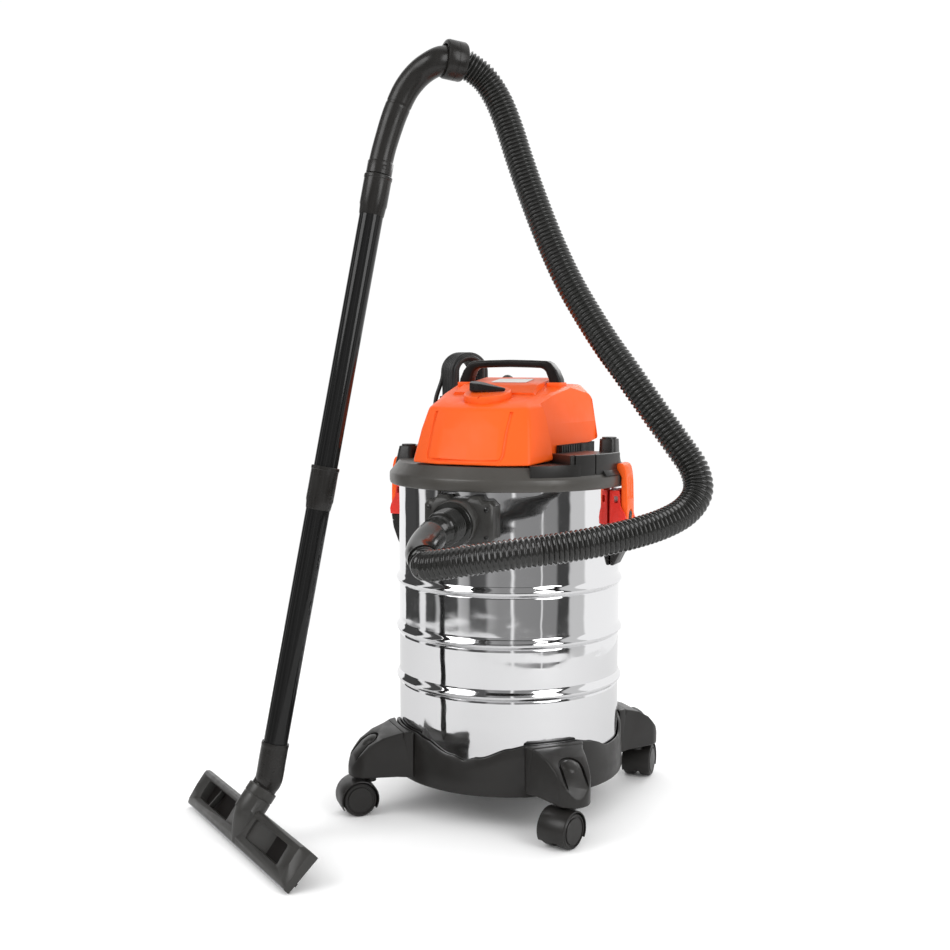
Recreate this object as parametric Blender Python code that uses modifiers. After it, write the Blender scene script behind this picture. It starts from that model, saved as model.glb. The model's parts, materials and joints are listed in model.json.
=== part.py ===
"""Shop vacuum on four casters, with hose, wand and floor nozzle. Metres, +Z up, front (inlet) at -Y.

Every position is given about the drum's axis, on the floor. The empty drum_axis puts that axis where
the whole object's bounding box stands centred on the origin.
"""

import math

import bmesh
import bpy
from mathutils import Matrix, Vector

# Driving dimensions
AXIS_X = 0.1019
AXIS_Y = 0.1285
GAP = 0.0003

DRUM_R = 0.155
DRUM_WALL = 0.0012
DRUM_BOTTOM = 0.0530
DRUM_TOP = 0.4600
BEAD_Z = (0.181, 0.250, 0.319)
BEAD_OUT = 0.0042
BEAD_HALF = 0.0085

TRAY_R = 0.162
TRAY_BOTTOM = 0.047
SKIRT_TOP = 0.101
ARM_BOTTOM = 0.054
ARM_TOP = 0.121
ARM_ANGLES = {"front_right": -45.0, "rear_right": 45.0, "rear_left": 135.0, "front_left": -135.0}

STEM_CIRCLE_R = 0.207
WHEEL_R = 0.0235
WHEEL_WIDTH = 0.016
WHEEL_X = 0.0120
TRAIL = 0.018
# The way each caster trails, in degrees about +Z from +X
TRAIL_ANGLES = {"front_right": -105.0, "rear_right": 94.0, "rear_left": 40.0, "front_left": 222.0}

RING_R = 0.168
RING_BOTTOM = 0.452
BAND_TOP = 0.4665
DECK_TOP = 0.4835
DECK_UNDER = 0.4780
CONE_TOP_R = 0.155

INLET_Z = 0.4157
INLET_CENTRE = Vector((0.0, -0.1600, INLET_Z))
INLET_AXIS = Vector((0.0, -1.0, -0.105)).normalized()
SPIGOT_START = -0.0190
SPIGOT_LENGTH = 0.0840
CONNECTOR_R = 0.0205
CONNECTOR_BORE = 0.0175
HOSE_R = 0.0185

PIVOT = (0.1745, 0.408)
LATCH_HALF = 0.0155

TUBE_R = 0.0155
TUBE_WALL = 0.0014
CUFF_R = 0.0178
WAND_FOOT = Vector((-0.2009, -0.2991, 0.1308))
WAND_TOP = Vector((-0.1055, -0.1870, 0.8586))
SWIVEL_AXIS = Vector((0.677, 0.696, -0.120)).normalized()
COLLAR_CENTRE = Vector((-0.0205, -0.1400, 1.0058))

NOZZLE_FRONT = Vector((-0.2348, -0.3395, 0.0012))
NOZZLE_ALONG = Vector((0.811, -0.585, 0.0)).normalized()
NOZZLE_TILT = math.radians(43)
NOZZLE_LENGTH = 0.360
BARREL_R = 0.0195

BARREL_FOOT = Vector((0, 0.026, 0.0190))
BARREL_TOP = Vector((0, 0.0760, 0.0275))

BOSS_AXIS = Vector((0, -0.235, 1.0)).normalized()
BOSS_CENTRE = Vector((0, -0.076, 0.5730))
BOSS_TOP = BOSS_CENTRE + BOSS_AXIS * 0.007

CORD_R = 0.0033
GLAND_ROOT = Vector((-0.048, 0.1020, 0.5350))
GLAND_AXIS = Vector((-0.25, 0.96, 0.10)).normalized()
HANK_CENTRE = Vector((-0.1210, 0.1130, 0.5610))
HANK_ANGLE = math.radians(47)
HANK_WIDTH = 0.060
HANK_DEPTH = 0.057
HANK_HEIGHT = 0.147

COLOURS = {
    "steel": ((0.78, 0.78, 0.78), 0.08, 1.0),
    "orange_plastic": ((0.95, 0.13, 0.025), 0.35, 0.0),
    "dark_red_plastic": ((0.62, 0.03, 0.02), 0.35, 0.0),
    "black_plastic": ((0.028, 0.026, 0.025), 0.45, 0.0),
    "black_rubber": ((0.02, 0.02, 0.02), 0.7, 0.0),
    "hose_plastic": ((0.02, 0.02, 0.02), 0.3, 0.0),
    "motor_metal": ((0.45, 0.45, 0.45), 0.4, 1.0),
    "foam": ((0.12, 0.12, 0.13), 0.95, 0.0),
    "white_label": ((0.85, 0.85, 0.83), 0.4, 0.0),
    "grey_plastic": ((0.35, 0.35, 0.36), 0.5, 0.0),
}


# Scene


def clear_scene():
    for obj in list(bpy.data.objects):
        bpy.data.objects.remove(obj, do_unlink=True)


def new_collection(name):
    collection = bpy.data.collections.new(name)
    bpy.context.scene.collection.children.link(collection)
    return collection


def new_empty(name, location, parent=None, rotation_z=0.0):
    empty = bpy.data.objects.new(name, None)
    empty.empty_display_size = 0.02
    empty.location = location
    empty.rotation_euler.z = rotation_z
    empty.parent = parent
    PARTS.objects.link(empty)
    return empty


def new_material(name, colour, roughness, metallic):
    material = bpy.data.materials.new(name)
    material.use_nodes = True
    shader = material.node_tree.nodes["Principled BSDF"]
    shader.inputs["Base Color"].default_value = (*colour, 1.0)
    shader.inputs["Roughness"].default_value = roughness
    shader.inputs["Metallic"].default_value = metallic
    return material


def add(name, data, material, parent=None):
    """A new object about the drum's axis, or about a parent empty of its own."""
    obj = bpy.data.objects.new(name, data)
    obj.parent = parent or AXIS
    if material:
        data.materials.append(MATERIALS[material])
    PARTS.objects.link(obj)
    return obj


def as_mesh(obj):
    """Makes a curve or a modified mesh a plain mesh with welded caps, under the same name."""
    bpy.context.view_layer.update()
    graph = bpy.context.evaluated_depsgraph_get()
    mesh = bpy.data.meshes.new_from_object(obj.evaluated_get(graph))
    shape = bmesh.new()
    shape.from_mesh(mesh)
    bmesh.ops.remove_doubles(shape, verts=shape.verts, dist=1e-6)
    bmesh.ops.recalc_face_normals(shape, faces=shape.faces)
    shape.to_mesh(mesh)
    shape.free()
    name = obj.name
    parent = obj.parent
    basis = obj.matrix_basis.copy()
    bpy.data.objects.remove(obj, do_unlink=True)
    solid = bpy.data.objects.new(name, mesh)
    solid.parent = parent
    solid.matrix_basis = basis
    PARTS.objects.link(solid)
    return solid


def turn_to(obj, axis):
    """Points an object's local +Z along an axis."""
    obj.rotation_mode = "QUATERNION"
    obj.rotation_quaternion = Vector(axis).to_track_quat("Z", "Y")
    return obj


# Shapes


def box(name, size, centre, material=None, parent=None, bevel=0.0):
    shape = bmesh.new()
    bmesh.ops.create_cube(shape, size=1.0)
    bmesh.ops.scale(shape, vec=size, verts=shape.verts)
    mesh = bpy.data.meshes.new(name)
    shape.to_mesh(mesh)
    shape.free()
    obj = add(name, mesh, material, parent)
    obj.location = centre
    if bevel:
        rounded = obj.modifiers.new("Rounded edges", "BEVEL")
        rounded.width = bevel
        rounded.segments = 2
    return obj


def rod(name, radius, depth, centre, axis=(0, 0, 1), material=None, parent=None, segments=24, tip=None):
    """A round bar, or a cone when tip gives the radius at its far end."""
    shape = bmesh.new()
    far = radius if tip is None else tip
    bmesh.ops.create_cone(shape, cap_ends=True, segments=segments, radius1=radius, radius2=far, depth=depth)
    mesh = bpy.data.meshes.new(name)
    shape.to_mesh(mesh)
    shape.free()
    obj = add(name, mesh, material, parent)
    obj.location = centre
    return turn_to(obj, axis)


def lathe(name, profile, material=None, steps=32, closed=False, parent=None, centre=(0, 0, 0), axis=(0, 0, 1)):
    """A turned shape. The profile's (radius, height) points run down its outer side."""
    mesh = bpy.data.meshes.new(name)
    edges = [(i, i + 1) for i in range(len(profile) - 1)]
    if closed:
        edges.append((len(profile) - 1, 0))
    mesh.from_pydata([(radius, 0.0, height) for radius, height in profile], edges, [])
    obj = add(name, mesh, material, parent)
    obj.location = centre
    turn_to(obj, axis)
    screw = obj.modifiers.new("Turned", "SCREW")
    screw.steps = steps
    screw.render_steps = steps
    screw.use_merge_vertices = True
    screw.merge_threshold = 0.00001
    screw.use_smooth_shade = True
    return obj


def prism(name, outline, thickness, centre=(0, 0, 0), material=None, parent=None, across=None):
    """A flat outline with a thickness. across is the (x, z) plane's normal when it isn't +Z."""
    curve = bpy.data.curves.new(name, "CURVE")
    curve.dimensions = "2D"
    curve.fill_mode = "BOTH"
    curve.extrude = thickness / 2
    spline = curve.splines.new("POLY")
    spline.points.add(len(outline) - 1)
    for point, (x, y) in zip(spline.points, outline):
        point.co = (x, y, 0.0, 1.0)
    spline.use_cyclic_u = True
    obj = add(name, curve, material, parent)
    obj.location = centre
    if across == "Y":
        obj.rotation_euler.x = math.pi / 2
    return as_mesh(obj)


def tube(name, points, radius, material=None, parent=None, resolution=3, scales=None):
    """A round bar along points; scales gives the share of the radius at each point."""
    curve = bpy.data.curves.new(name, "CURVE")
    curve.dimensions = "3D"
    curve.bevel_depth = radius
    curve.bevel_resolution = resolution
    curve.use_fill_caps = True
    spline = curve.splines.new("POLY")
    spline.points.add(len(points) - 1)
    for index, point in enumerate(points):
        spline.points[index].co = (*point, 1.0)
        spline.points[index].radius = scales[index] if scales else 1.0
    return add(name, curve, material, parent)


def loft(name, rings, material=None, parent=None, cap=True):
    """A skin over rings of equal length, closed at both ends when cap is set."""
    shape = bmesh.new()
    rows = [[shape.verts.new(point) for point in ring] for ring in rings]
    count = len(rows[0])
    for low, high in zip(rows, rows[1:]):
        for i in range(count):
            j = (i + 1) % count
            shape.faces.new((low[i], low[j], high[j], high[i]))
    if cap:
        shape.faces.new(rows[0])
        shape.faces.new(rows[-1])
    bmesh.ops.recalc_face_normals(shape, faces=shape.faces)
    mesh = bpy.data.meshes.new(name)
    shape.to_mesh(mesh)
    shape.free()
    return add(name, mesh, material, parent)


def boolean(obj, other, operation):
    PARTS.objects.unlink(other)
    CUTTERS.objects.link(other)
    other.hide_render = True
    other.display_type = "WIRE"
    modifier = obj.modifiers.new(other.name, "BOOLEAN")
    modifier.operation = operation
    modifier.object = other


def cut(obj, *cutters):
    for cutter in cutters:
        boolean(obj, cutter, "DIFFERENCE")
    return obj


def join(obj, *others):
    for other in others:
        boolean(obj, other, "UNION")
    return obj


def slice_off(obj, point, normal):
    """Cuts away what lies beyond a plane, and closes the cut."""
    shape = bmesh.new()
    shape.from_mesh(obj.data)
    parts = shape.verts[:] + shape.edges[:] + shape.faces[:]
    result = bmesh.ops.bisect_plane(shape, geom=parts, plane_co=point, plane_no=normal, clear_outer=True)
    rim = [item for item in result["geom_cut"] if isinstance(item, bmesh.types.BMEdge)]
    bmesh.ops.contextual_create(shape, geom=rim)
    bmesh.ops.recalc_face_normals(shape, faces=shape.faces)
    shape.to_mesh(obj.data)
    shape.free()
    return obj


def arc(centre, radius, start, end, count):
    """Points on a circle in a plane, from one angle in degrees to another."""
    angles = [math.radians(start + (end - start) * i / (count - 1)) for i in range(count)]
    return [(centre[0] + radius * math.cos(a), centre[1] + radius * math.sin(a)) for a in angles]


def smooth_path(route, spacing):
    """Evenly spaced points on a smooth curve through the route's points."""
    points = [Vector(point) for point in route]
    ends = [points[0] * 2 - points[1]] + points + [points[-1] * 2 - points[-2]]
    fine = []
    for a, b, c, d in zip(ends, ends[1:], ends[2:], ends[3:]):
        for step in range(20):
            t = step / 20
            fine.append(
                0.5 * (2 * b + (c - a) * t + (2 * a - 5 * b + 4 * c - d) * t**2 + (3 * b - a - 3 * c + d) * t**3)
            )
    fine.append(points[-1])
    lengths = [0.0]
    for a, b in zip(fine, fine[1:]):
        lengths.append(lengths[-1] + (b - a).length)
    count = max(2, round(lengths[-1] / spacing))
    result = []
    index = 0
    for step in range(count + 1):
        target = lengths[-1] * step / count
        while index < len(fine) - 2 and lengths[index + 1] < target:
            index += 1
        share = (target - lengths[index]) / (lengths[index + 1] - lengths[index])
        result.append(fine[index].lerp(fine[index + 1], share))
    return result


# Tank


def build_drum():
    inner = DRUM_R - DRUM_WALL
    profile = [(0, DRUM_BOTTOM + 0.0015), (inner - 0.004, DRUM_BOTTOM + 0.0015), (inner, DRUM_BOTTOM + 0.005)]
    profile += [(inner, DRUM_TOP - 0.001), (inner + 0.001, DRUM_TOP)]
    profile += [(DRUM_R + 0.0015, DRUM_TOP), (DRUM_R + 0.0025, DRUM_TOP - 0.0025), (DRUM_R, DRUM_TOP - 0.006)]
    for height in reversed(BEAD_Z):
        profile += [(DRUM_R, height + BEAD_HALF), (DRUM_R + BEAD_OUT, height + 0.3 * BEAD_HALF)]
        profile += [(DRUM_R + BEAD_OUT, height - 0.3 * BEAD_HALF), (DRUM_R, height - BEAD_HALF)]
    profile += [(DRUM_R, DRUM_BOTTOM + 0.004), (DRUM_R - 0.003, DRUM_BOTTOM), (0, DRUM_BOTTOM)]
    drum = lathe("drum", profile, "steel", steps=36)
    cut(drum, rod("inlet_hole", 0.0245, 0.03, (0, -DRUM_R, INLET_Z), axis=(0, 1, 0)))


def build_inlet():
    flange = box("inlet_flange", (0.098, 0.026, 0.064), (0, -0.162, INLET_Z), "black_plastic", bevel=0.004)
    join(flange, rod("socket_ring", 0.0300, 0.022, INLET_CENTRE + INLET_AXIS * 0.0180, axis=INLET_AXIS))
    cut(flange, rod("drum_seat", DRUM_R + GAP, 0.2, (0, 0, INLET_Z), segments=96))
    cut(flange, rod("socket_bore", CONNECTOR_R + 2 * GAP, 0.09, INLET_CENTRE, axis=INLET_AXIS, segments=32))
    # Hood inside the wall that turns the air down, open towards the inlet and below
    deflector = box("inlet_deflector", (0.074, 0.030, 0.066), (0, -0.1330, INLET_Z), "black_plastic")
    cut(deflector, box("deflector_hollow", (0.068, 0.0280, 0.070), (0, -0.1360, INLET_Z - 0.006)))


def build_hose_parts():
    grip = 0.0232
    # Local +Z is outwards; the spigot's inner end is at local 0
    profile = [(CONNECTOR_BORE, 0.0), (CONNECTOR_BORE, SPIGOT_LENGTH), (0.0200, SPIGOT_LENGTH), (grip, 0.081)]
    profile += [(grip, 0.0555), (0.0290, 0.0545), (0.0290, 0.0500), (CONNECTOR_R, 0.0500), (CONNECTOR_R, 0.0)]
    inner_end = INLET_CENTRE + INLET_AXIS * SPIGOT_START
    lathe("hose_connector", profile, "black_plastic", 24, True, centre=inner_end, axis=INLET_AXIS)
    line = smooth_path(cuff_route(), 0.012)
    cuff = as_mesh(tube("hose_cuff", line, 0.0190, "black_rubber", resolution=3))
    before = line[0] - INLET_AXIS * 0.004
    beyond = line[-1] + (line[-1] - line[-2]).normalized() * 0.004
    cut(cuff, as_mesh(tube("cuff_bore", [before, *line[1:-1], beyond], 0.0150, resolution=3)))
    tube("suction_hose", smooth_path(hose_route(), 0.019), HOSE_R, "hose_plastic", resolution=3)
    profile = [(0.0195, -0.014), (0.0195, 0.014), (0.0230, 0.014), (0.0250, 0.010), (0.0250, -0.010), (0.0230, -0.014)]
    lathe("swivel_collar", profile, "black_plastic", 24, True, centre=COLLAR_CENTRE, axis=SWIVEL_AXIS)


def cuff_route():
    """Centre line of the moulded bend, from the connector's outer end down and round towards +X."""
    start = INLET_CENTRE + INLET_AXIS * (SPIGOT_START + SPIGOT_LENGTH + GAP)
    return [
        start,
        start + INLET_AXIS * 0.012,
        (0.0006, -0.2600, 0.4020),
        (0.0030, -0.2800, 0.3955),
        (0.0085, -0.2985, 0.3893),
        (0.0190, -0.3130, 0.3850),
    ]


def hose_route():
    """Route points of the suction hose, from the cuff's end to the swivel collar."""
    cuff = smooth_path(cuff_route(), 0.004)
    out = (cuff[-1] - cuff[-2]).normalized()
    return [
        cuff[-1] + out * 0.0025,
        cuff[-1] + out * 0.0120,
        cuff[-1] + out * 0.0210,
        (0.0550, -0.3340, 0.3845),
        (0.0860, -0.3325, 0.3905),
        (0.1180, -0.3265, 0.3960),
        (0.1460, -0.3155, 0.4005),
        (0.178, -0.294, 0.4045),
        (0.216, -0.266, 0.4105),
        (0.252, -0.232, 0.4185),
        (0.282, -0.196, 0.4290),
        (0.301, -0.166, 0.4430),
        (0.309, -0.146, 0.4640),
        (0.301, -0.136, 0.4900),
        (0.279, -0.133, 0.5200),
        (0.247, -0.133, 0.5620),
        (0.213, -0.132, 0.6070),
        (0.184, -0.127, 0.6430),
        (0.157, -0.121, 0.6800),
        (0.131, -0.115, 0.7190),
        (0.108, -0.109, 0.7600),
        (0.088, -0.105, 0.8020),
        (0.070, -0.102, 0.8440),
        (0.054, -0.101, 0.8860),
        (0.040, -0.101, 0.9260),
        (0.026, -0.104, 0.9600),
        (0.010, -0.112, 0.9860),
        COLLAR_CENTRE + SWIVEL_AXIS * 0.0175,
    ]


# Base and casters


def skirt_rise(angle):
    """How far the skirt's edge stands up beside each arm, at an angle in degrees."""
    away = min(abs((angle - arm + 180) % 360 - 180) for arm in ARM_ANGLES.values())
    return 0.020 * 0.5 * (1 + math.cos(math.pi * min(1.0, away / 38)))


def build_tray():
    profile = [(0, DRUM_BOTTOM - GAP), (DRUM_R + 0.0014, DRUM_BOTTOM - GAP), (DRUM_R + 0.0014, SKIRT_TOP)]
    profile += [(0.1600, SKIRT_TOP), (TRAY_R, 0.052), (TRAY_R - 0.002, TRAY_BOTTOM), (0, TRAY_BOTTOM)]
    tray = as_mesh(lathe("base_tray", profile, "black_plastic", steps=48))
    for vertex in tray.data.vertices:
        if vertex.co.z > SKIRT_TOP - 0.001:
            vertex.co.z += skirt_rise(math.degrees(math.atan2(vertex.co.y, vertex.co.x)))


def build_arm(name, angle):
    stand = new_empty("arm_place_" + name, (0, 0, 0), AXIS, math.radians(angle))
    tip = arc((0.2125, 0), 0.0245, 75, -75, 9)
    outline = [(0.150, -0.042), (0.150, 0.042), (0.176, 0.033), *tip, (0.176, -0.033)]
    middle = (ARM_BOTTOM + ARM_TOP) / 2
    arm = prism("caster_arm_" + name, outline, ARM_TOP - ARM_BOTTOM, (0, 0, middle), "black_plastic", stand)
    slice_off(arm, (0.162, 0, ARM_TOP - middle), (0.30, 0, 1.0))
    slice_off(arm, (0.207, 0, 0.106 - middle), (1.0, 0, 0.78))
    cut(arm, rod("arm_seat_" + name, TRAY_R + GAP, 0.2, (0, 0, 0.1), segments=96, parent=stand))
    cut(arm, rod("stem_hole_" + name, 0.0044, 0.052, (STEM_CIRCLE_R, 0, 0.054), segments=16, parent=stand))


def build_caster(name, angle):
    radians = math.radians(angle)
    place = (STEM_CIRCLE_R * math.cos(radians), STEM_CIRCLE_R * math.sin(radians), 0)
    # Local -Y is the way the caster trails
    stand = new_empty("swivel_" + name, place, AXIS, math.radians(TRAIL_ANGLES[name] + 90))
    axle = Vector((0, -TRAIL, WHEEL_R))
    hood = rod("caster_hood_" + name, 0.0265, 0.042, axle, (1, 0, 0), "black_plastic", stand, 20)
    for side in (-1, 1):
        centre = axle + Vector((side * 0.013, 0, 0))
        cut(hood, rod(f"pocket_{name}_{side}", 0.0246, 0.019, centre, (1, 0, 0), parent=stand, segments=20))
    cut(hood, box("hood_mouth_" + name, (0.06, 0.08, 0.03), (0, -TRAIL, -0.004), parent=stand))
    cut(hood, rod("axle_hole_" + name, 0.0034, 0.02, axle, (1, 0, 0), parent=stand, segments=12))
    join(hood, rod("stem_boss_" + name, 0.0075, 0.0043, (0, 0, 0.04835), parent=stand, segments=16))
    join(hood, rod("stem_" + name, 0.0040, 0.0300, (0, 0, 0.0630), parent=stand, segments=12))
    spin = new_empty("axle_" + name, axle, stand)
    inner = rod("wheel_inner_" + name, WHEEL_R, WHEEL_WIDTH, (-WHEEL_X, 0, 0), (1, 0, 0), "black_rubber", spin, 18)
    join(inner, rod("axle_rod_" + name, 0.0030, 0.018, (0, 0, 0), (1, 0, 0), parent=spin, segments=12))
    outer = rod("wheel_outer_" + name, WHEEL_R, WHEEL_WIDTH, (WHEEL_X, 0, 0), (1, 0, 0), "black_rubber", spin, 18)
    cut(outer, rod("wheel_bore_" + name, 0.0033, 0.02, (0, 0, 0), (1, 0, 0), parent=spin, segments=12))


# Latches


def build_latch(name, angle):
    stand = new_empty("latch_side_" + name, (0, 0, 0), AXIS, math.radians(angle))
    bracket = box("latch_bracket_" + name, (0.0225, 0.041, 0.047), (0.16675, 0, 0.4235), "dark_red_plastic", stand)
    cut(bracket, box("bracket_slot_" + name, (0.0225, 0.034, 0.060), (0.1705, 0, 0.4235), parent=stand))
    pivot = (PIVOT[0], 0, PIVOT[1])
    cut(bracket, rod("bracket_hole_" + name, 0.0028, 0.06, pivot, (0, 1, 0), parent=stand, segments=14))
    foot = [(0.1557, 0.3995), (0.1557, 0.3520), (0.1640, 0.3520), (0.1790, 0.3780), (0.1790, 0.3995)]
    prism("latch_foot_" + name, foot, 0.034, (0, 0, 0), "black_plastic", stand, across="Y")
    hinge = new_empty("latch_pivot_" + name, pivot, stand)
    side = [(0.1700, 0.4020), (0.1785, 0.4020), (0.1802, 0.4300), (0.1797, 0.4700), (0.1775, 0.4840)]
    side += [(0.1735, 0.4880), (0.1650, 0.4880), (0.1628, 0.4855), (0.1628, 0.4752), (0.1690, 0.4672)]
    side += [(0.1700, 0.4650)]
    outline = [(x - PIVOT[0], z - PIVOT[1]) for x, z in side]
    lever = prism("latch_lever_" + name, outline, 2 * LATCH_HALF, (0, 0, 0), "orange_plastic", hinge, across="Y")
    cut(lever, rod("lever_hole_" + name, 0.0028, 0.06, (0, 0, 0), (0, 1, 0), parent=hinge, segments=14))
    rod("latch_pin_" + name, 0.0024, 0.0405, (0, 0, 0), (0, 1, 0), "steel", hinge, segments=14)


# Head


def build_housing():
    profile = [(0.030, DECK_TOP), (CONE_TOP_R, DECK_TOP), (RING_R, BAND_TOP), (RING_R, RING_BOTTOM)]
    profile += [(RING_R - 0.0035, RING_BOTTOM), (RING_R - 0.0035, 0.4648), (0.1500, 0.4648)]
    profile += [(0.1500, RING_BOTTOM), (0.1465, RING_BOTTOM), (0.1465, DECK_UNDER), (0.030, DECK_UNDER)]
    housing = lathe("head_housing", profile, "black_plastic", 40, True)
    for side in (-1, 1):
        post = box(f"post_{side}", (0.022, 0.030, 0.026), (side * 0.1445, 0, 0.4935), bevel=0.004)
        join(housing, post)
    lathe(
        "lid_seal",
        [(0.1510, 0.4645), (0.1632, 0.4645), (0.1632, DRUM_TOP + GAP), (0.1510, DRUM_TOP + GAP)],
        "black_rubber",
        32,
        True,
    )


def mirrored(half):
    """A ring of (x, y, z) points from the half at x >= 0, front to back."""
    left = [(-x, y, z) for x, y, z in reversed(half[1:-1])]
    return half + left


def cover_ring(points, heights):
    return mirrored([(x, y, z) for (x, y), z in zip(points, heights)])


def build_cover():
    foot = [(0, -0.150), (0.045, -0.143), (0.084, -0.122), (0.098, -0.060), (0.106, 0.010), (0.107, 0.065)]
    foot += [(0.085, 0.100), (0, 0.108)]
    waist = [(0, -0.134), (0.042, -0.1275), (0.077, -0.109), (0.094, -0.055), (0.102, 0.010), (0.103, 0.062)]
    waist += [(0.082, 0.096), (0, 0.104)]
    edge = [(0, -0.118), (0.038, -0.1125), (0.068, -0.097), (0.087, -0.050), (0.095, 0.010), (0.096, 0.060)]
    edge += [(0.077, 0.090), (0, 0.098)]
    crown = [(0, -0.108), (0.033, -0.103), (0.058, -0.088), (0.074, -0.045), (0.081, 0.010), (0.081, 0.055)]
    crown += [(0.065, 0.080), (0, 0.087)]
    rings = [
        cover_ring(foot, (0.4855, 0.4855, 0.4855, 0.4890, 0.4980, 0.5060, 0.5060, 0.5060)),
        cover_ring(waist, (0.5300,) * 8),
        cover_ring(edge, (0.5580, 0.5585, 0.5600, 0.5640, 0.5680, 0.5700, 0.5700, 0.5700)),
        cover_ring(crown, (0.5640, 0.5645, 0.5670, 0.5770, 0.5865, 0.5880, 0.5880, 0.5870)),
        cover_ring([(0.4 * x, 0.4 * y) for x, y in crown], (0.5790, 0.5790, 0.5800, 0.5850) + (0.5900,) * 4),
    ]
    cover = loft("motor_cover", rings, "orange_plastic", cap=False)
    shape = bmesh.new()
    shape.from_mesh(cover.data)
    bmesh.ops.contextual_create(shape, geom=top_rim(shape))
    bmesh.ops.recalc_face_normals(shape, faces=shape.faces)
    shape.to_mesh(cover.data)
    shape.free()
    shell = cover.modifiers.new("Shell", "SOLIDIFY")
    shell.thickness = 0.0024
    shell.offset = -1
    shell.use_even_offset = True
    join(cover, rod("switch_boss", 0.0305, 0.014, BOSS_CENTRE, BOSS_AXIS, segments=32))
    cut(cover, rod("switch_hole", 0.0036, 0.05, BOSS_CENTRE, BOSS_AXIS, segments=14))
    for side in (-1, 1):
        cut(cover, rod(f"foot_screw_hole_{side}", 0.0034, 0.03, (side * 0.067, 0.008, 0.585), segments=12))
    cut(cover, rod("gland_hole", 0.0072, 0.03, GLAND_ROOT, GLAND_AXIS, segments=16))


def top_rim(shape):
    """The open edges of a shape's highest loop."""
    return [edge for edge in shape.edges if edge.is_boundary and edge.verts[0].co.z > 0.575]


def build_head_parts():
    handle_points = [(-0.067, 0.5925), (-0.0655, 0.6010), (-0.0600, 0.6120), (-0.0500, 0.6175)]
    handle_points += [(-0.0250, 0.6190), (0.0, 0.6195)]
    handle_points += [(-x, z) for x, z in reversed(handle_points[:-1])]
    handle = as_mesh(
        tube("carry_handle", [(x, 0.008, z) for x, z in handle_points], 0.0078, "black_plastic", resolution=3)
    )
    for side in (-1, 1):
        join(handle, rod(f"handle_screw_{side}", 0.0030, 0.022, (side * 0.067, 0.008, 0.5860), segments=12))
    for name, side in (("left", -1), ("right", 1)):
        build_grille(name, side)
    box("label_plate", (0.052, 0.036, 0.0012), (0.004, 0.0060, 0.5915), "white_label")
    stand = new_empty("switch_place", BOSS_TOP, AXIS)
    turn_to(stand, BOSS_AXIS)
    lever = [(-0.022, 0.0030), (0.022, 0.0030), (0.022, 0.0060), (-0.012, 0.0125), (-0.018, 0.0120), (-0.022, 0.0085)]
    knob = prism("switch_knob", lever, 0.011, (0, 0, 0), "black_plastic", stand, across="Y")
    join(knob, rod("knob_base", 0.0100, 0.0040, (0, 0, 0.0023), parent=stand, segments=20))
    join(knob, rod("knob_shaft", 0.0030, 0.0140, (0, 0, -0.0060), parent=stand, segments=12))


def build_grille(name, side):
    """Upright louvred wall under the cover's raised side edge."""
    outer = [(0.0955, -0.048), (0.1025, 0.010), (0.1035, 0.060)]
    inner = [(0.0995, 0.060), (0.0985, 0.010), (0.0915, -0.048)]
    outline = [(side * x, y) for x, y in outer + inner]
    height = 0.0135
    prism("vent_grille_" + name, outline, height, (0, 0, DECK_TOP + GAP + height / 2), "black_plastic")


def build_motor():
    fan_floor = DECK_TOP + GAP
    profile = [(0.0685, fan_floor), (0.0685, 0.5125), (0.0060, 0.5125), (0.0060, 0.5150), (0.0710, 0.5150)]
    profile += [(0.0710, fan_floor)]
    lathe("fan_housing", profile, "grey_plastic", 24, True)
    profile = [(0, 0.5600), (0.0400, 0.5600), (0.0450, 0.5550), (0.0450, 0.5153), (0.0046, 0.5153), (0.0046, 0.5450)]
    profile += [(0, 0.5450)]
    lathe("motor", profile, "motor_metal", 24)
    profile = [(0, 0.5430), (0.0040, 0.5430), (0.0040, 0.5080), (0.0120, 0.5080), (0.0150, 0.5060)]
    profile += [(0.0600, 0.5040), (0.0600, 0.4920), (0, 0.4920)]
    lathe("impeller", profile, "motor_metal", 24)


def build_filter():
    flange_top = DECK_UNDER - GAP
    cage_bottom = 0.3100
    profile = [(0.0180, flange_top), (0.0650, flange_top), (0.0650, flange_top - 0.004)]
    profile += [(0.0520, flange_top - 0.004), (0.0180, flange_top - 0.004)]
    cage = lathe("filter_cage", profile, "grey_plastic", 24, True)
    join(cage, rod("cage_floor", 0.0520, 0.003, (0, 0, cage_bottom + 0.0015)))
    length = flange_top - cage_bottom - 0.003
    for index in range(6):
        angle = math.radians(60 * index)
        place = (0.0490 * math.cos(angle), 0.0490 * math.sin(angle), cage_bottom + 0.001 + length / 2)
        bar = box(f"cage_bar_{index}", (0.005, 0.005, length), place)
        bar.rotation_euler.z = angle
        join(cage, bar)
    profile = [(0, 0.3090), (0.0525, 0.3090), (0.0525, 0.4730), (0.0585, 0.4730), (0.0585, 0.3050), (0, 0.3050)]
    lathe("filter_sleeve", profile, "foam", 24)
    shape = bmesh.new()
    bmesh.ops.create_uvsphere(shape, u_segments=12, v_segments=8, radius=0.0220)
    mesh = bpy.data.meshes.new("float_ball")
    shape.to_mesh(mesh)
    shape.free()
    ball = add("float_ball", mesh, "orange_plastic")
    ball.location = (0, 0, cage_bottom + 0.003 + 0.0220 + GAP)


# Mains cord


def hank_point(x, y, z):
    """A point in the hank's frame: x along its width, y outwards through its depth, z up."""
    turned = Matrix.Rotation(HANK_ANGLE, 3, "Z") @ Vector((x, y, 0))
    return HANK_CENTRE + turned + Vector((0, 0, z))


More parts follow.
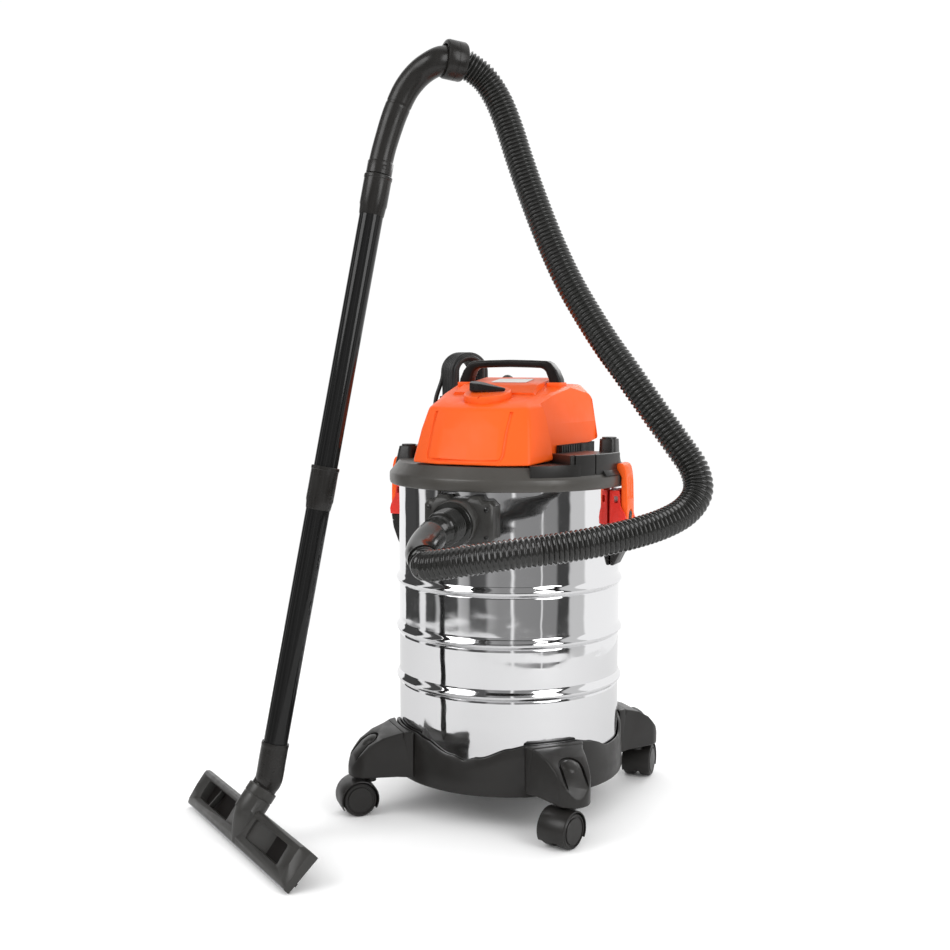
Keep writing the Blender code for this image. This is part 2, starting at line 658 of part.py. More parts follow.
def build_cord():
    root = GLAND_ROOT
    tip = root + GLAND_AXIS * 0.034
    gland = rod("cord_gland", 0.0068, 0.010, root + GLAND_AXIS * 0.003, GLAND_AXIS, "black_plastic", segments=16)
    tail = rod("gland_tail", 0.0066, 0.028, root + GLAND_AXIS * 0.020, GLAND_AXIS, segments=16, tip=0.0048)
    join(gland, tail)
    tube("cord_lead", smooth_path(lead_route(tip), 0.012), CORD_R, "black_rubber", resolution=2)
    stand = new_empty("hank_place", HANK_CENTRE, AXIS, HANK_ANGLE)
    half_width = HANK_WIDTH / 2
    straight = HANK_HEIGHT / 2 - half_width
    outline = arc((0, straight), half_width, 0, 180, 9) + arc((0, -straight), half_width, 180, 360, 9)
    prism("cord_hank", outline, HANK_DEPTH, (0, 0, 0), "black_rubber", stand, across="Y")
    # The plug hangs from the last turn, on the hank's far side, prongs down
    plug = box("plug", (0.020, 0.024, 0.036), (-0.0410, 0.0155, -0.0300), "black_rubber", stand, bevel=0.003)
    for side in (-1, 1):
        place = (-0.0410, 0.0155 + side * 0.0075, -0.0550)
        join(plug, rod(f"plug_prong_{side}", 0.0022, 0.020, place, parent=stand, segments=12))
    build_hook()


def build_hook():
    """J-shaped bracket on the deck that the hank stands in."""
    wall = 0.004
    lip = 0.003
    room = HANK_DEPTH + 2 * GAP
    outer = wall + room + lip
    side = [(0.0, 0.0), (0.0, 0.060), (wall, 0.060), (wall, lip), (wall + room, lip)]
    side += [(wall + room, 0.016), (outer, 0.016), (outer, 0.0)]
    outline = [(x - wall - room / 2, z) for x, z in side]
    place = (HANK_CENTRE.x, HANK_CENTRE.y, DECK_TOP + GAP)
    holder = new_empty("hook_place", place, AXIS, HANK_ANGLE + math.pi / 2)
    prism("cord_hook", outline, 0.024, (0, 0, 0), "black_plastic", holder, across="Y")


def lead_route(tip):
    """From the gland's tip, round and up to the outer face of the hank's top."""
    return [
        tip + GLAND_AXIS * GAP,
        tip + GLAND_AXIS * 0.014,
        hank_point(0.0700, 0.0020, -0.0080),
        hank_point(0.0660, 0.0240, 0.0080),
        hank_point(0.0520, 0.0355, 0.0320),
        hank_point(0.0320, 0.0355, 0.0530),
        hank_point(0.0120, 0.0340, 0.0620),
        hank_point(0.0, 0.0329, 0.0633),
    ]


# Wand


def build_wand():
    along = (WAND_TOP - WAND_FOOT).normalized()
    length = (WAND_TOP - WAND_FOOT).length
    inner = TUBE_R - TUBE_WALL
    middle = 0.362
    neck = 0.012
    cuff = 0.056
    # Lower tube: plain foot in the elbow, belled cuff at its top
    profile = [(inner, -0.028), (inner, middle - 0.058), (TUBE_R + GAP, middle - 0.057), (TUBE_R + GAP, middle)]
    profile += [(CUFF_R, middle), (CUFF_R, middle - cuff + neck), (TUBE_R, middle - cuff), (TUBE_R, -0.028)]
    lathe("lower_tube", profile, "black_plastic", 20, True, centre=WAND_FOOT, axis=along)
    foot = middle - 0.050
    profile = [(inner, foot), (inner, length - 0.052), (TUBE_R + GAP, length - 0.051), (TUBE_R + GAP, length)]
    profile += [(CUFF_R, length), (CUFF_R, length - 0.038), (TUBE_R, length - 0.052), (TUBE_R, foot)]
    lathe("upper_tube", profile, "black_plastic", 20, True, centre=WAND_FOOT, axis=along)
    path = handle_path(along)
    scales = handle_scales(len(path))
    handle = as_mesh(tube("handle_tube", path, TUBE_R, "black_plastic", resolution=3, scales=scales))
    bore_path = [path[0] - along * 0.003] + path[1:-1] + [path[-1] + SWIVEL_AXIS * 0.003]
    cut(handle, as_mesh(tube("handle_bore", bore_path, TUBE_R - 0.0022, resolution=2)))
    profile = [(TUBE_R + GAP, 0.0), (TUBE_R + GAP, 0.017), (CUFF_R, 0.017), (CUFF_R, 0.0)]
    lathe("bleed_ring", profile, "black_plastic", 24, True, centre=WAND_TOP + along * 0.0010, axis=along)


def handle_path(along):
    """Centre line of the handle tube, from inside the upper cuff to inside the collar."""
    route = [
        WAND_TOP - along * 0.046,
        WAND_TOP - along * 0.020,
        WAND_TOP + along * 0.022,
        (-0.0965, -0.1780, 0.9120),
        (-0.0885, -0.1725, 0.9430),
        (-0.0765, -0.1660, 0.9690),
        (-0.0600, -0.1590, 0.9885),
        COLLAR_CENTRE - SWIVEL_AXIS * 0.026 + Vector((0, 0, 0.0004)),
        COLLAR_CENTRE - SWIVEL_AXIS * 0.010,
        COLLAR_CENTRE + SWIVEL_AXIS * 0.006,
    ]
    return smooth_path(route, 0.015)


def handle_scales(count):
    """The tube flares towards its collar end."""
    result = []
    for index in range(count):
        share = index / (count - 1)
        result.append(1.0 + 0.17 * max(0.0, (share - 0.45) / 0.55))
    return result


def nozzle_frame():
    """Nozzle's frame: X along its length, Y up its slope from the front edge, Z out of its top face."""
    front = Vector((NOZZLE_ALONG.y, -NOZZLE_ALONG.x, 0)).normalized()
    up_slope = -front * math.cos(NOZZLE_TILT) + Vector((0, 0, math.sin(NOZZLE_TILT)))
    normal = NOZZLE_ALONG.cross(up_slope)
    matrix = Matrix((NOZZLE_ALONG, up_slope, normal)).transposed().to_4x4()
    matrix.translation = NOZZLE_FRONT
    return matrix


def build_nozzle():
    frame = nozzle_frame()
    stand = new_empty("nozzle_place", (0, 0, 0), AXIS)
    stand.rotation_mode = "QUATERNION"
    stand.rotation_quaternion = frame.to_quaternion()
    stand.location = NOZZLE_FRONT
    half = NOZZLE_LENGTH / 2
    section = [(0.0, 0.0), (0.0, 0.007), (0.006, 0.0145), (0.050, 0.0230), (0.058, 0.0200), (0.060, 0.0)]
    rings = [[(x, y, z) for y, z in section] for x in (-half, half)]
    body = loft("nozzle_body", rings, "black_plastic", stand)
    barrel_axis = (BARREL_TOP - BARREL_FOOT).normalized()
    barrel_length = (BARREL_TOP - BARREL_FOOT).length
    middle = (BARREL_TOP + BARREL_FOOT) / 2
    join(body, rod("barrel", BARREL_R, barrel_length, middle, barrel_axis, parent=stand, segments=28))
    for side in (-1, 1):
        recess = box(f"recess_{side}", (0.108, 0.028, 0.020), (side * 0.090, 0.030, 0.0225), parent=stand)
        recess.rotation_euler.x = 0.19
        cut(body, recess)
    cut(body, box("mouth", (0.330, 0.022, 0.012), (0, 0.036, 0.000), parent=stand))
    cut(body, box("strip_slot", (0.336, 0.0052, 0.010), (0, 0.0130, 0.000), parent=stand))
    bore = BARREL_TOP - barrel_axis * 0.012
    cut(body, rod("barrel_bore", 0.0172, 0.0420, bore, barrel_axis, parent=stand, segments=28))
    box("nozzle_strip", (0.334, 0.0044, 0.0090), (0, 0.0130, 0.0000), "black_rubber", stand)
    return frame, barrel_axis


def build_elbow(frame, barrel_axis):
    """Socket for the lower tube, a short bend, and a neck that turns in the nozzle's barrel."""
    along = (WAND_TOP - WAND_FOOT).normalized()
    top = frame @ BARREL_TOP
    axis = frame.to_3x3() @ barrel_axis
    socket_low = WAND_FOOT - along * 0.046
    neck_low = top - axis * 0.0240
    route = [WAND_FOOT + along * 0.001, WAND_FOOT - along * 0.022, socket_low, top + axis * 0.004, neck_low]
    path = smooth_path(route, 0.012)
    elbow = as_mesh(tube("nozzle_elbow", path, 0.0168, "black_plastic", resolution=4))
    cut(elbow, rod("socket_bore_low", TUBE_R + GAP, 0.036, WAND_FOOT - along * 0.0130, along, segments=24))
    hollow = [WAND_FOOT - along * 0.025, *path[3:-1], neck_low - axis * 0.003]
    cut(elbow, as_mesh(tube("elbow_bore", hollow, 0.0140, resolution=2)))


def main():
    build_drum()
    build_inlet()
    build_hose_parts()
    build_tray()
    for name, angle in ARM_ANGLES.items():
        build_arm(name, angle)
        build_caster(name, angle)
    for name, angle in (("right", 0), ("left", 180)):
        build_latch(name, angle)
    build_housing()
    build_cover()
    build_head_parts()
    build_motor()
    build_filter()
    build_cord()
    build_wand()
    build_elbow(*build_nozzle())


clear_scene()
PARTS = new_collection("shop_vacuum")
CUTTERS = new_collection("cutters")
MATERIALS = {name: new_material(name, *look) for name, look in COLOURS.items()}
AXIS = new_empty("drum_axis", (AXIS_X, AXIS_Y, 0))
main()
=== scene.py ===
"""Looks of the shop vacuum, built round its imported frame. Metres, +Z up, front (hose inlet) at -Y.

Every piece is modelled about the drum's axis on the floor and then moved to where the frame has that axis.
"""

import json
import math

import bmesh
import bpy
from mathutils import Matrix, Vector

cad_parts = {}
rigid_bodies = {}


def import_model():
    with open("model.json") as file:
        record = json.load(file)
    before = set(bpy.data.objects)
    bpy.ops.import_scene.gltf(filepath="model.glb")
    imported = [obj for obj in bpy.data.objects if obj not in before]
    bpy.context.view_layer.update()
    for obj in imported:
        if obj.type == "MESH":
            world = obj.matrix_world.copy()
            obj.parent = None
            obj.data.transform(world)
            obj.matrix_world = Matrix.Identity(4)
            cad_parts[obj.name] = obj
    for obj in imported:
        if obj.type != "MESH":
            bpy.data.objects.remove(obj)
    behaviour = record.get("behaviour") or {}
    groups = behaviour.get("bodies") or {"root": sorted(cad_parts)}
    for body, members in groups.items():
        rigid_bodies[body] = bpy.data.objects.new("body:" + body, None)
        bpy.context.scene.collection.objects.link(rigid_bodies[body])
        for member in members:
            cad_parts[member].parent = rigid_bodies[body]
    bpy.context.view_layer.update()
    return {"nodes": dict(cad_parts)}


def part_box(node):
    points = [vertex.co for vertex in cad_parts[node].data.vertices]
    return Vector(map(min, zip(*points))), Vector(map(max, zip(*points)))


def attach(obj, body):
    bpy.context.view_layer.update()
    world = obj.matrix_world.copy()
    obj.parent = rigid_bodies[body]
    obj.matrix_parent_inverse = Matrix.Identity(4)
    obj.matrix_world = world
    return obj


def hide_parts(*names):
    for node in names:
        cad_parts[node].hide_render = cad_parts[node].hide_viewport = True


for startup in list(bpy.data.objects):
    bpy.data.objects.remove(startup, do_unlink=True)
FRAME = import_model()
DRUM_LOW, DRUM_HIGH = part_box("drum")
AXIS = Vector(((DRUM_LOW.x + DRUM_HIGH.x) / 2, (DRUM_LOW.y + DRUM_HIGH.y) / 2, 0.0))

# Sizes shared with the frame
DRUM_R = 0.155
INLET_Z = 0.4157
INLET_CENTRE = Vector((0.0, -0.16, INLET_Z))
INLET_AXIS = Vector((0.0, -1.0, -0.105)).normalized()
SPIGOT_START = -0.019
SPIGOT_LENGTH = 0.084
DECK_TOP = 0.4835
PIVOT_X = 0.1745
PIVOT_Z = 0.408
TUBE_R = 0.0155
CUFF_R = 0.0178
WAND_FOOT = Vector((-0.2009, -0.2991, 0.1308))
WAND_TOP = Vector((-0.1055, -0.187, 0.8586))
ALONG = (WAND_TOP - WAND_FOOT).normalized()
WAND_LENGTH = (WAND_TOP - WAND_FOOT).length
SWIVEL_AXIS = Vector((0.677, 0.696, -0.12)).normalized()
COLLAR_CENTRE = Vector((-0.0205, -0.14, 1.0058))
BOSS_AXIS = Vector((0, -0.235, 1.0)).normalized()
BOSS_CENTRE = Vector((0, -0.076, 0.573))
BOSS_TOP = BOSS_CENTRE + BOSS_AXIS * 0.007
GLAND_ROOT = Vector((-0.048, 0.102, 0.535))
GLAND_AXIS = Vector((-0.25, 0.96, 0.1)).normalized()
HANK_CENTRE = Vector((-0.121, 0.113, 0.561))
HANK_ANGLE = math.radians(47)
HANK_DEPTH = 0.057
HANK_HEIGHT = 0.147
HANK_STRAIGHT = HANK_HEIGHT / 2 - 0.03
HANK_R = 0.0198
LEAD_Y = 0.0329
CORD_D = 0.0066
PLUG_TOP = Vector((-0.041, 0.0155, -0.012))
NOZZLE_FRONT = Vector((-0.2348, -0.3395, 0.0012))
NOZZLE_ALONG = Vector((0.811, -0.585, 0.0)).normalized()
NOZZLE_TILT = math.radians(43)
NOZZLE_LENGTH = 0.36
BARREL_FOOT = Vector((0, 0.026, 0.019))
BARREL_TOP = Vector((0, 0.076, 0.0275))
ARM_ANGLES = {"front_right": -45.0, "rear_right": 45.0, "rear_left": 135.0, "front_left": -135.0}
TRAIL_ANGLES = {"front_right": -105.0, "rear_right": 94.0, "rear_left": 40.0, "front_left": 222.0}
STEM_R = 0.207
TRAIL = 0.018
WHEEL_R = 0.0235

# Sizes of the fine surfaces
BEAD_HEIGHTS = (0.319, 0.25, 0.181)
BEAD_OUT = 0.0042
SOCKET_R = 0.0212
SPIGOT_BORE = 0.0175
COLLAR_OUT = 0.025
SKIRT_R = 0.1562
ARM_SEAT_R = 0.162
DOME_X = 0.2075
HOOD_R = 0.0265
RING_RIM = 0.1682


# Materials


def add_node(tree, kind, values=None, feeds=None, colour=False):
    """A shader node with values for some inputs and other nodes' outputs for others."""
    node = tree.nodes.new("ShaderNode" + kind)
    if colour:
        node.data_type = "RGBA"
    for name, value in (values or {}).items():
        node.inputs[name].default_value = value
    for name, output in (feeds or {}).items():
        tree.links.new(output, node.inputs[name])
    return node


def bumped(tree, texture, strength, distance):
    """Lets a texture stand out of the surface."""
    size = {"Strength": strength, "Distance": distance}
    bump = add_node(tree, "Bump", size, {"Height": texture.outputs["Fac"]})
    tree.links.new(bump.outputs["Normal"], tree.nodes["Principled BSDF"].inputs["Normal"])


def material(
    name,
    colour,
    roughness,
    metallic=0.0,
    shade=0.06,
    patch=9.0,
    rough_range=0.05,
    grain=0.0,
    grain_size=0.0006,
    shine=0.5,
):
    """A procedural surface: slow colour variation, uneven gloss and a fine moulded grain."""
    made = bpy.data.materials.new(name)
    made.use_nodes = True
    tree = made.node_tree
    shader = tree.nodes["Principled BSDF"]
    shader.inputs["Metallic"].default_value = metallic
    shader.inputs["Specular IOR Level"].default_value = shine
    place = add_node(tree, "TexCoord").outputs["Object"]
    slow = add_node(tree, "TexNoise", {"Scale": patch, "Detail": 6.0}, {"Vector": place})
    dark, light = [(*[min(1.0, c * (1 + change)) for c in colour], 1.0) for change in (-shade, shade)]
    tint = add_node(tree, "Mix", {"A": dark, "B": light}, {"Factor": slow.outputs["Fac"]}, colour=True)
    quick = add_node(tree, "TexNoise", {"Scale": patch * 7}, {"Vector": place})
    span = {"From Min": 0.35, "From Max": 0.65}
    span.update({"To Min": max(0.02, roughness - rough_range), "To Max": roughness + rough_range})
    gloss = add_node(tree, "MapRange", span, {"Value": quick.outputs["Fac"]})
    tree.links.new(tint.outputs["Result"], shader.inputs["Base Color"])
    tree.links.new(gloss.outputs["Result"], shader.inputs["Roughness"])
    if grain:
        fine = add_node(tree, "TexNoise", {"Scale": 1.0 / grain_size, "Detail": 2.0}, {"Vector": place})
        bumped(tree, fine, grain, 0.0002)
    return made


def polished_steel():
    """Mirror-polished sheet: faint rolling streaks round the drum and slightly wavy reflections."""
    made = material("polished_steel", (0.82, 0.82, 0.83), 0.06, 1.0, 0.03, 5.0, 0.03)
    tree = made.node_tree
    place = add_node(tree, "TexCoord").outputs["Object"]
    stretch = add_node(tree, "Mapping", {"Scale": (9.0, 9.0, 26.0)}, {"Vector": place})
    wave = add_node(tree, "TexNoise", {"Scale": 1.0, "Detail": 1.5}, {"Vector": stretch.outputs["Vector"]})
    bumped(tree, wave, 0.5, 0.0022)
    return made


STEEL = polished_steel()
ORANGE = material(
    "orange_moulding", (0.88, 0.108, 0.01), 0.4, shade=0.04, grain=0.1, grain_size=0.0009, shine=0.22
)
RED = material("red_moulding", (0.72, 0.022, 0.012), 0.34, shade=0.05, grain=0.08)
BLACK = material(
    "black_moulding", (0.014, 0.013, 0.012), 0.36, shade=0.15, grain=0.18, grain_size=0.0007, shine=0.42
)
# The ring's black is lifted to a dark brownish grey: partly its own tone, partly painted sheen for the light
# its slopes catch
RING_TONE_AND_SHEEN = material(
    "ring_moulding_with_painted_sheen", (0.058, 0.054, 0.048), 0.36, shade=0.12, grain=0.16, grain_size=0.0007, shine=0.6
)
SOFT_BLACK = material(
    "soft_black_moulding", (0.029, 0.028, 0.026), 0.33, shade=0.12, grain=0.14, grain_size=0.0007, shine=0.5
)
GRIP = material("grip_moulding", (0.008, 0.0065, 0.006), 0.34, shade=0.12, grain=0.1, shine=0.3)
SATIN = material("black_satin", (0.013, 0.012, 0.011), 0.28, shade=0.12, grain=0.08, shine=0.4)
GLOSS = material("black_gloss_tube", (0.008, 0.008, 0.008), 0.1, shade=0.15, rough_range=0.02, shine=0.3)
HOSE = material("hose_vinyl", (0.013, 0.013, 0.012), 0.17, shade=0.15, rough_range=0.03, shine=0.6)
RUBBER = material("black_rubber", (0.018, 0.018, 0.018), 0.62, shade=0.12, grain=0.25)
CORD = material("cord_vinyl", (0.014, 0.014, 0.014), 0.42, shade=0.15, grain=0.06)
METAL = material("plain_metal", (0.56, 0.55, 0.53), 0.33, 1.0, 0.06, 20.0, 0.08)
DARK_STEEL = material("dark_screw", (0.1, 0.1, 0.1), 0.35, 1.0, 0.06, 20.0, 0.06)
LABEL = material("blank_label", (0.78, 0.78, 0.76), 0.4, shade=0.02, patch=30.0)
GREY = material("grey_moulding", (0.27, 0.27, 0.28), 0.48, shade=0.06, grain=0.15)
FOAM = material(
    "filter_foam", (0.075, 0.077, 0.085), 0.95, shade=0.25, patch=60.0, rough_range=0.03, grain=0.9,
    grain_size=0.0016,
)


# Making pieces


def new_object(name, shape):
    bmesh.ops.remove_doubles(shape, verts=shape.verts, dist=1e-6)
    bmesh.ops.recalc_face_normals(shape, faces=shape.faces)
    mesh = bpy.data.meshes.new(name)
    shape.to_mesh(mesh)
    shape.free()
    obj = bpy.data.objects.new(name, mesh)
    bpy.context.scene.collection.objects.link(obj)
    return obj


def placed(obj, centre, axis=(0, 0, 1), turn=0.0):
    """Moves a mesh so that its local +Z points along axis, after a turn in degrees about its own +Z."""
    facing = Vector(axis).to_track_quat("Z", "Y").to_matrix().to_4x4()
    obj.data.transform(Matrix.Translation(centre) @ facing @ Matrix.Rotation(math.radians(turn), 4, "Z"))
    return obj


def shifted(obj, offset):
    """Moves a mesh without turning it."""
    obj.data.transform(Matrix.Translation(offset))
    return obj


def spun(obj, degrees):
    """Turns a mesh about the drum's axis."""
    obj.data.transform(Matrix.Rotation(math.radians(degrees), 4, "Z"))
    return obj


def turned(name, sections):
    """A skin round Z through one closed (radius, height) section for each step."""
    shape = bmesh.new()
    rows = []
    for step, section in enumerate(sections):
        angle = 2 * math.pi * step / len(sections)
        rows.append([shape.verts.new((r * math.cos(angle), r * math.sin(angle), z)) for r, z in section])
    radii = [r for r, z in sections[0]]
    spans = zip(range(len(radii)), [*range(1, len(radii)), 0])
    # A stretch that runs along the axis gets no faces
    spans = [(i, j) for i, j in spans if radii[i] > 0 or radii[j] > 0]
    for here, there in zip(rows, rows[1:] + rows[:1]):
        for i, j in spans:
            shape.faces.new((here[i], here[j], there[j], there[i]))
    bmesh.ops.dissolve_degenerate(shape, dist=1e-7, edges=shape.edges)
    return new_object(name, shape)


def lathe(name, profile, steps=96):
    """The same section all the way round."""
    return turned(name, [profile] * steps)


def ring_frames(points):
    """Two directions across the path at each point, without twist."""
    tangents = []
    for i in range(len(points)):
        low = points[max(0, i - 1)]
        high = points[min(len(points) - 1, i + 1)]
        tangents.append((high - low).normalized())
    side = tangents[0].orthogonal().normalized()
    frames = []
    for tangent in tangents:
        side = (side - tangent * side.dot(tangent)).normalized()
        frames.append((side, tangent.cross(side)))
    return frames


def sweep(name, points, radii, sides=24, section=None):
    """A skin along points, round or with a section of (across, up) points, closed at both ends."""
    shape = bmesh.new()
    rows = []
    frames = ring_frames(points)
    for index, point in enumerate(points):
        side, up = frames[index]
        radius = radii[index] if isinstance(radii, (list, tuple)) else radii
        if section:
            offsets = [(a * radius, b * radius) for a, b in section]
        else:
            angles = [2 * math.pi * k / sides for k in range(sides)]
            offsets = [(radius * math.cos(a), radius * math.sin(a)) for a in angles]
        rows.append([shape.verts.new(point + side * a + up * b) for a, b in offsets])
    skin_rows(shape, rows)
    return new_object(name, shape)


def skin_rows(shape, rows):
    """Faces between rows of points, with a cap on the first and the last."""
    count = len(rows[0])
    for low, high in zip(rows, rows[1:]):
        for i in range(count):
            j = (i + 1) % count
            shape.faces.new((low[i], low[j], high[j], high[i]))
    shape.faces.new(rows[0])
    shape.faces.new(rows[-1])


def loft(name, rings):
    """A closed skin through rings that have the same number of points."""
    shape = bmesh.new()
    skin_rows(shape, [[shape.verts.new(point) for point in ring] for ring in rings])
    return new_object(name, shape)


def slab(name, outline, low, high):
    """A flat outline in X and Y with a thickness along Z."""
    return loft(name, [[(x, y, low) for x, y in outline], [(x, y, high) for x, y in outline]])


def side_slab(name, outline, half):
    """An outline in X and Z with a thickness across Y."""
    return loft(name, [[(x, -half, z) for x, z in outline], [(x, half, z) for x, z in outline]])


def block(name, size, centre=(0, 0, 0), bevel=0.0):
    shape = bmesh.new()
    bmesh.ops.create_cube(shape, size=1.0)
    bmesh.ops.scale(shape, vec=size, verts=shape.verts)
    bmesh.ops.translate(shape, vec=centre, verts=shape.verts)
    obj = new_object(name, shape)
    return softened(obj, bevel) if bevel else obj


def disc(name, radius, low, high, steps=48, edge=0.0):
    """A short round bar about Z, its rims rounded by edge."""
    if edge:
        bend = 0.3 * edge
        upper = [(radius - edge, high), (radius - bend, high - bend), (radius, high - edge)]
        lower = [(radius, low + edge), (radius - bend, low + bend), (radius - edge, low)]
    else:
        upper = [(radius, high)]
        lower = [(radius, low)]
    return lathe(name, [(0, high), *upper, *lower, (0, low)], steps)


def disc_at(name, radius, low_centre, height, steps=32):
    return shifted(disc(name, radius, 0, height, steps), low_centre)


def baked(obj):
    """Makes an object's modifiers part of its mesh."""
    bpy.context.view_layer.update()
    graph = bpy.context.evaluated_depsgraph_get()
    mesh = bpy.data.meshes.new_from_object(obj.evaluated_get(graph))
    obj.modifiers.clear()
    obj.data = mesh
    return obj


def softened(obj, width, segments=3, angle=30):
    """Rounds every edge that bends by more than the angle."""
    edges = obj.modifiers.new("Soft edges", "BEVEL")
    edges.width = width
    edges.segments = segments
    edges.limit_method = "ANGLE"
    edges.angle_limit = math.radians(angle)
    edges.use_clamp_overlap = True
    return baked(obj)


def combined(obj, others, operation):
    for other in others:
        modifier = obj.modifiers.new("Combine", "BOOLEAN")
        modifier.operation = operation
        modifier.object = other
        baked(obj)
        bpy.data.objects.remove(other, do_unlink=True)
    return obj


def carved(obj, *others):
    return combined(obj, others, "DIFFERENCE")


def fused(obj, *others):
    return combined(obj, others, "UNION")


def joined(obj, *others):
    """Puts other meshes into this one as they are."""
    shape = bmesh.new()
    shape.from_mesh(obj.data)
    for other in others:
        shape.from_mesh(other.data)
        bpy.data.objects.remove(other, do_unlink=True)
    shape.to_mesh(obj.data)
    shape.free()
    return obj


def finish_piece(obj, look, body, *nodes, slot="black_plastic", sharp=32):
    """Gives a piece its material and shading, moves it to the frame and lets it ride on its body."""
    obj.data.materials.clear()
    obj.data.materials.append(look)
    obj.data.shade_smooth()
    obj.data.set_sharp_from_angle(angle=math.radians(sharp))
    obj.location = AXIS
    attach(obj, body)
    if nodes:
        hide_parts(*nodes)


def arc(centre, radius, start, end, count):
    """So many points on a flat arc, from one angle in degrees to another."""
    angles = [math.radians(start + (end - start) * i / (count - 1)) for i in range(count)]
    return [(centre[0] + radius * math.cos(a), centre[1] + radius * math.sin(a)) for a in angles]


def rounded(half_x, half_y, radius, count=6):
    """A rounded rectangle's outline."""
    x = half_x - radius
    y = half_y - radius
    return (
        arc((x, y), radius, 0, 90, count)
        + arc((-x, y), radius, 90, 180, count)
        + arc((-x, -y), radius, 180, 270, count)
        + arc((x, -y), radius, 270, 360, count)
    )


def smooth_path(route, spacing):
    """Evenly spaced points on a smooth curve through the route's points."""
    points = [Vector(point) for point in route]
    ends = [points[0] * 2 - points[1]] + points + [points[-1] * 2 - points[-2]]
    fine = []
    for a, b, c, d in zip(ends, ends[1:], ends[2:], ends[3:]):
        for step in range(20):
            t = step / 20
            bend = (2 * a - 5 * b + 4 * c - d) * t**2 + (3 * b - a - 3 * c + d) * t**3
            fine.append(0.5 * (2 * b + (c - a) * t + bend))
    fine.append(points[-1])
    lengths = [0.0]
    for a, b in zip(fine, fine[1:]):
        lengths.append(lengths[-1] + (b - a).length)
    count = max(2, round(lengths[-1] / spacing))
    result = []
    index = 0
    for step in range(count + 1):
        target = lengths[-1] * step / count
        while index < len(fine) - 2 and lengths[index + 1] < target:
            index += 1
        share = (target - lengths[index]) / (lengths[index + 1] - lengths[index])
        result.append(fine[index].lerp(fine[index + 1], share))
    return result


def path_length(points):
    """Length of a line of points."""
    return sum((b - a).length for a, b in zip(points, points[1:]))


# Camera, light and floor


FLOOR_R = 1.3
# Share of the turn round the room from -X, and the brightness of the wall there
WALL_STOPS = [
    (0.0, 0.05), (0.017, 0.05), (0.021, 0.9), (0.045, 0.9), (0.05, 0.08), (0.085, 0.06), (0.092, 0.45),
    (0.11, 0.35), (0.118, 0.05), (0.16, 0.08), (0.168, 0.5), (0.195, 0.35), (0.203, 0.08), (0.245, 0.1),
    (0.255, 0.35), (0.283, 0.28), (0.318, 0.28), (0.321, 0.95), (0.326, 0.95), (0.329, 0.28), (0.403, 0.26),
    (0.406, 0.95), (0.409, 0.26), (0.45, 0.25), (0.456, 0.06), (0.49, 0.06), (0.495, 0.62), (0.545, 0.62),
    (0.55, 1.0), (0.93, 1.0), (0.933, 0.06),
]


def build_camera():
    """Front right, level with the carry handle, with the drum right of the picture's middle."""
    turn = math.radians(24)
    tilt = math.radians(85)
    back = 1.855
    aside = -0.0481
    height = 0.623
    across = Vector((math.cos(turn), math.sin(turn), 0.0))
    away = Vector((math.sin(turn), -math.cos(turn), 0.0))
    data = bpy.data.cameras.new("camera")
    data.lens = 50
    data.sensor_width = 36
    data.clip_end = 50
    camera = bpy.data.objects.new("camera", data)
    camera.location = across * aside + away * back + Vector((0, 0, height)) + AXIS
    camera.rotation_euler = (tilt, 0, turn)
    bpy.context.scene.collection.objects.link(camera)
    bpy.context.scene.camera = camera


def area_light(name, place, target, size, power):
    data = bpy.data.lights.new(name, "AREA")
    data.shape = "ELLIPSE"
    data.size = size[0]
    data.size_y = size[1]
    data.energy = power
    light = bpy.data.objects.new(name, data)
    light.location = place
    light.rotation_euler = (Vector(target) - Vector(place)).to_track_quat("-Z", "Y").to_euler()
    bpy.context.scene.collection.objects.link(light)


def build_studio():
    """A white room whose walls hold a few dark upright flags, which the polished drum mirrors."""
    scene = bpy.context.scene
    scene.view_settings.view_transform = "Standard"
    world = bpy.data.worlds.new("studio")
    scene.world = world
    world.use_nodes = True
    tree = world.node_tree
    place = add_node(tree, "TexCoord").outputs["Generated"]
    around = add_node(tree, "TexGradient", feeds={"Vector": place})
    around.gradient_type = "RADIAL"
    bands = add_node(tree, "ValToRGB", feeds={"Fac": around.outputs["Fac"]})
    ramp = bands.color_ramp
    ramp.interpolation = "LINEAR"
    while len(ramp.elements) < len(WALL_STOPS):
        ramp.elements.new(0.5)
    for element, (position, value) in zip(ramp.elements, WALL_STOPS):
        element.position = position
        element.color = (value, value, value, 1.0)
    walls = tree.nodes["Background"]
    tree.links.new(bands.outputs["Color"], walls.inputs["Color"])
    walls.inputs["Strength"].default_value = 1.0
    plain = add_node(tree, "Background", {"Color": (1.0, 1.0, 1.0, 1.0), "Strength": 1.02})
    mirrored = add_node(tree, "LightPath").outputs["Is Glossy Ray"]
    feeds = {"Fac": mirrored, 1: plain.outputs["Background"], 2: walls.outputs["Background"]}
    mix = add_node(tree, "MixShader", feeds=feeds)
    tree.links.new(mix.outputs["Shader"], tree.nodes["World Output"].inputs["Surface"])
    area_light("key", (-1.6, -2.2, 2.3), (0, 0, 0.4), (2.0, 2.0), 36)
    area_light("fill", (2.4, -1.0, 1.5), (0, 0, 0.4), (1.4, 2.2), 29)
    area_light("rim", (0.4, 2.6, 1.9), (0, 0, 0.5), (1.9, 1.5), 19)
    floor = disc("floor", FLOOR_R, -0.01, 0, 96)
    pale = material("pale_floor", (0.98, 0.98, 0.98), 0.8, shade=0.004, patch=1.0)
    dim_in_mirrors(pale)
    floor.data.materials.append(pale)


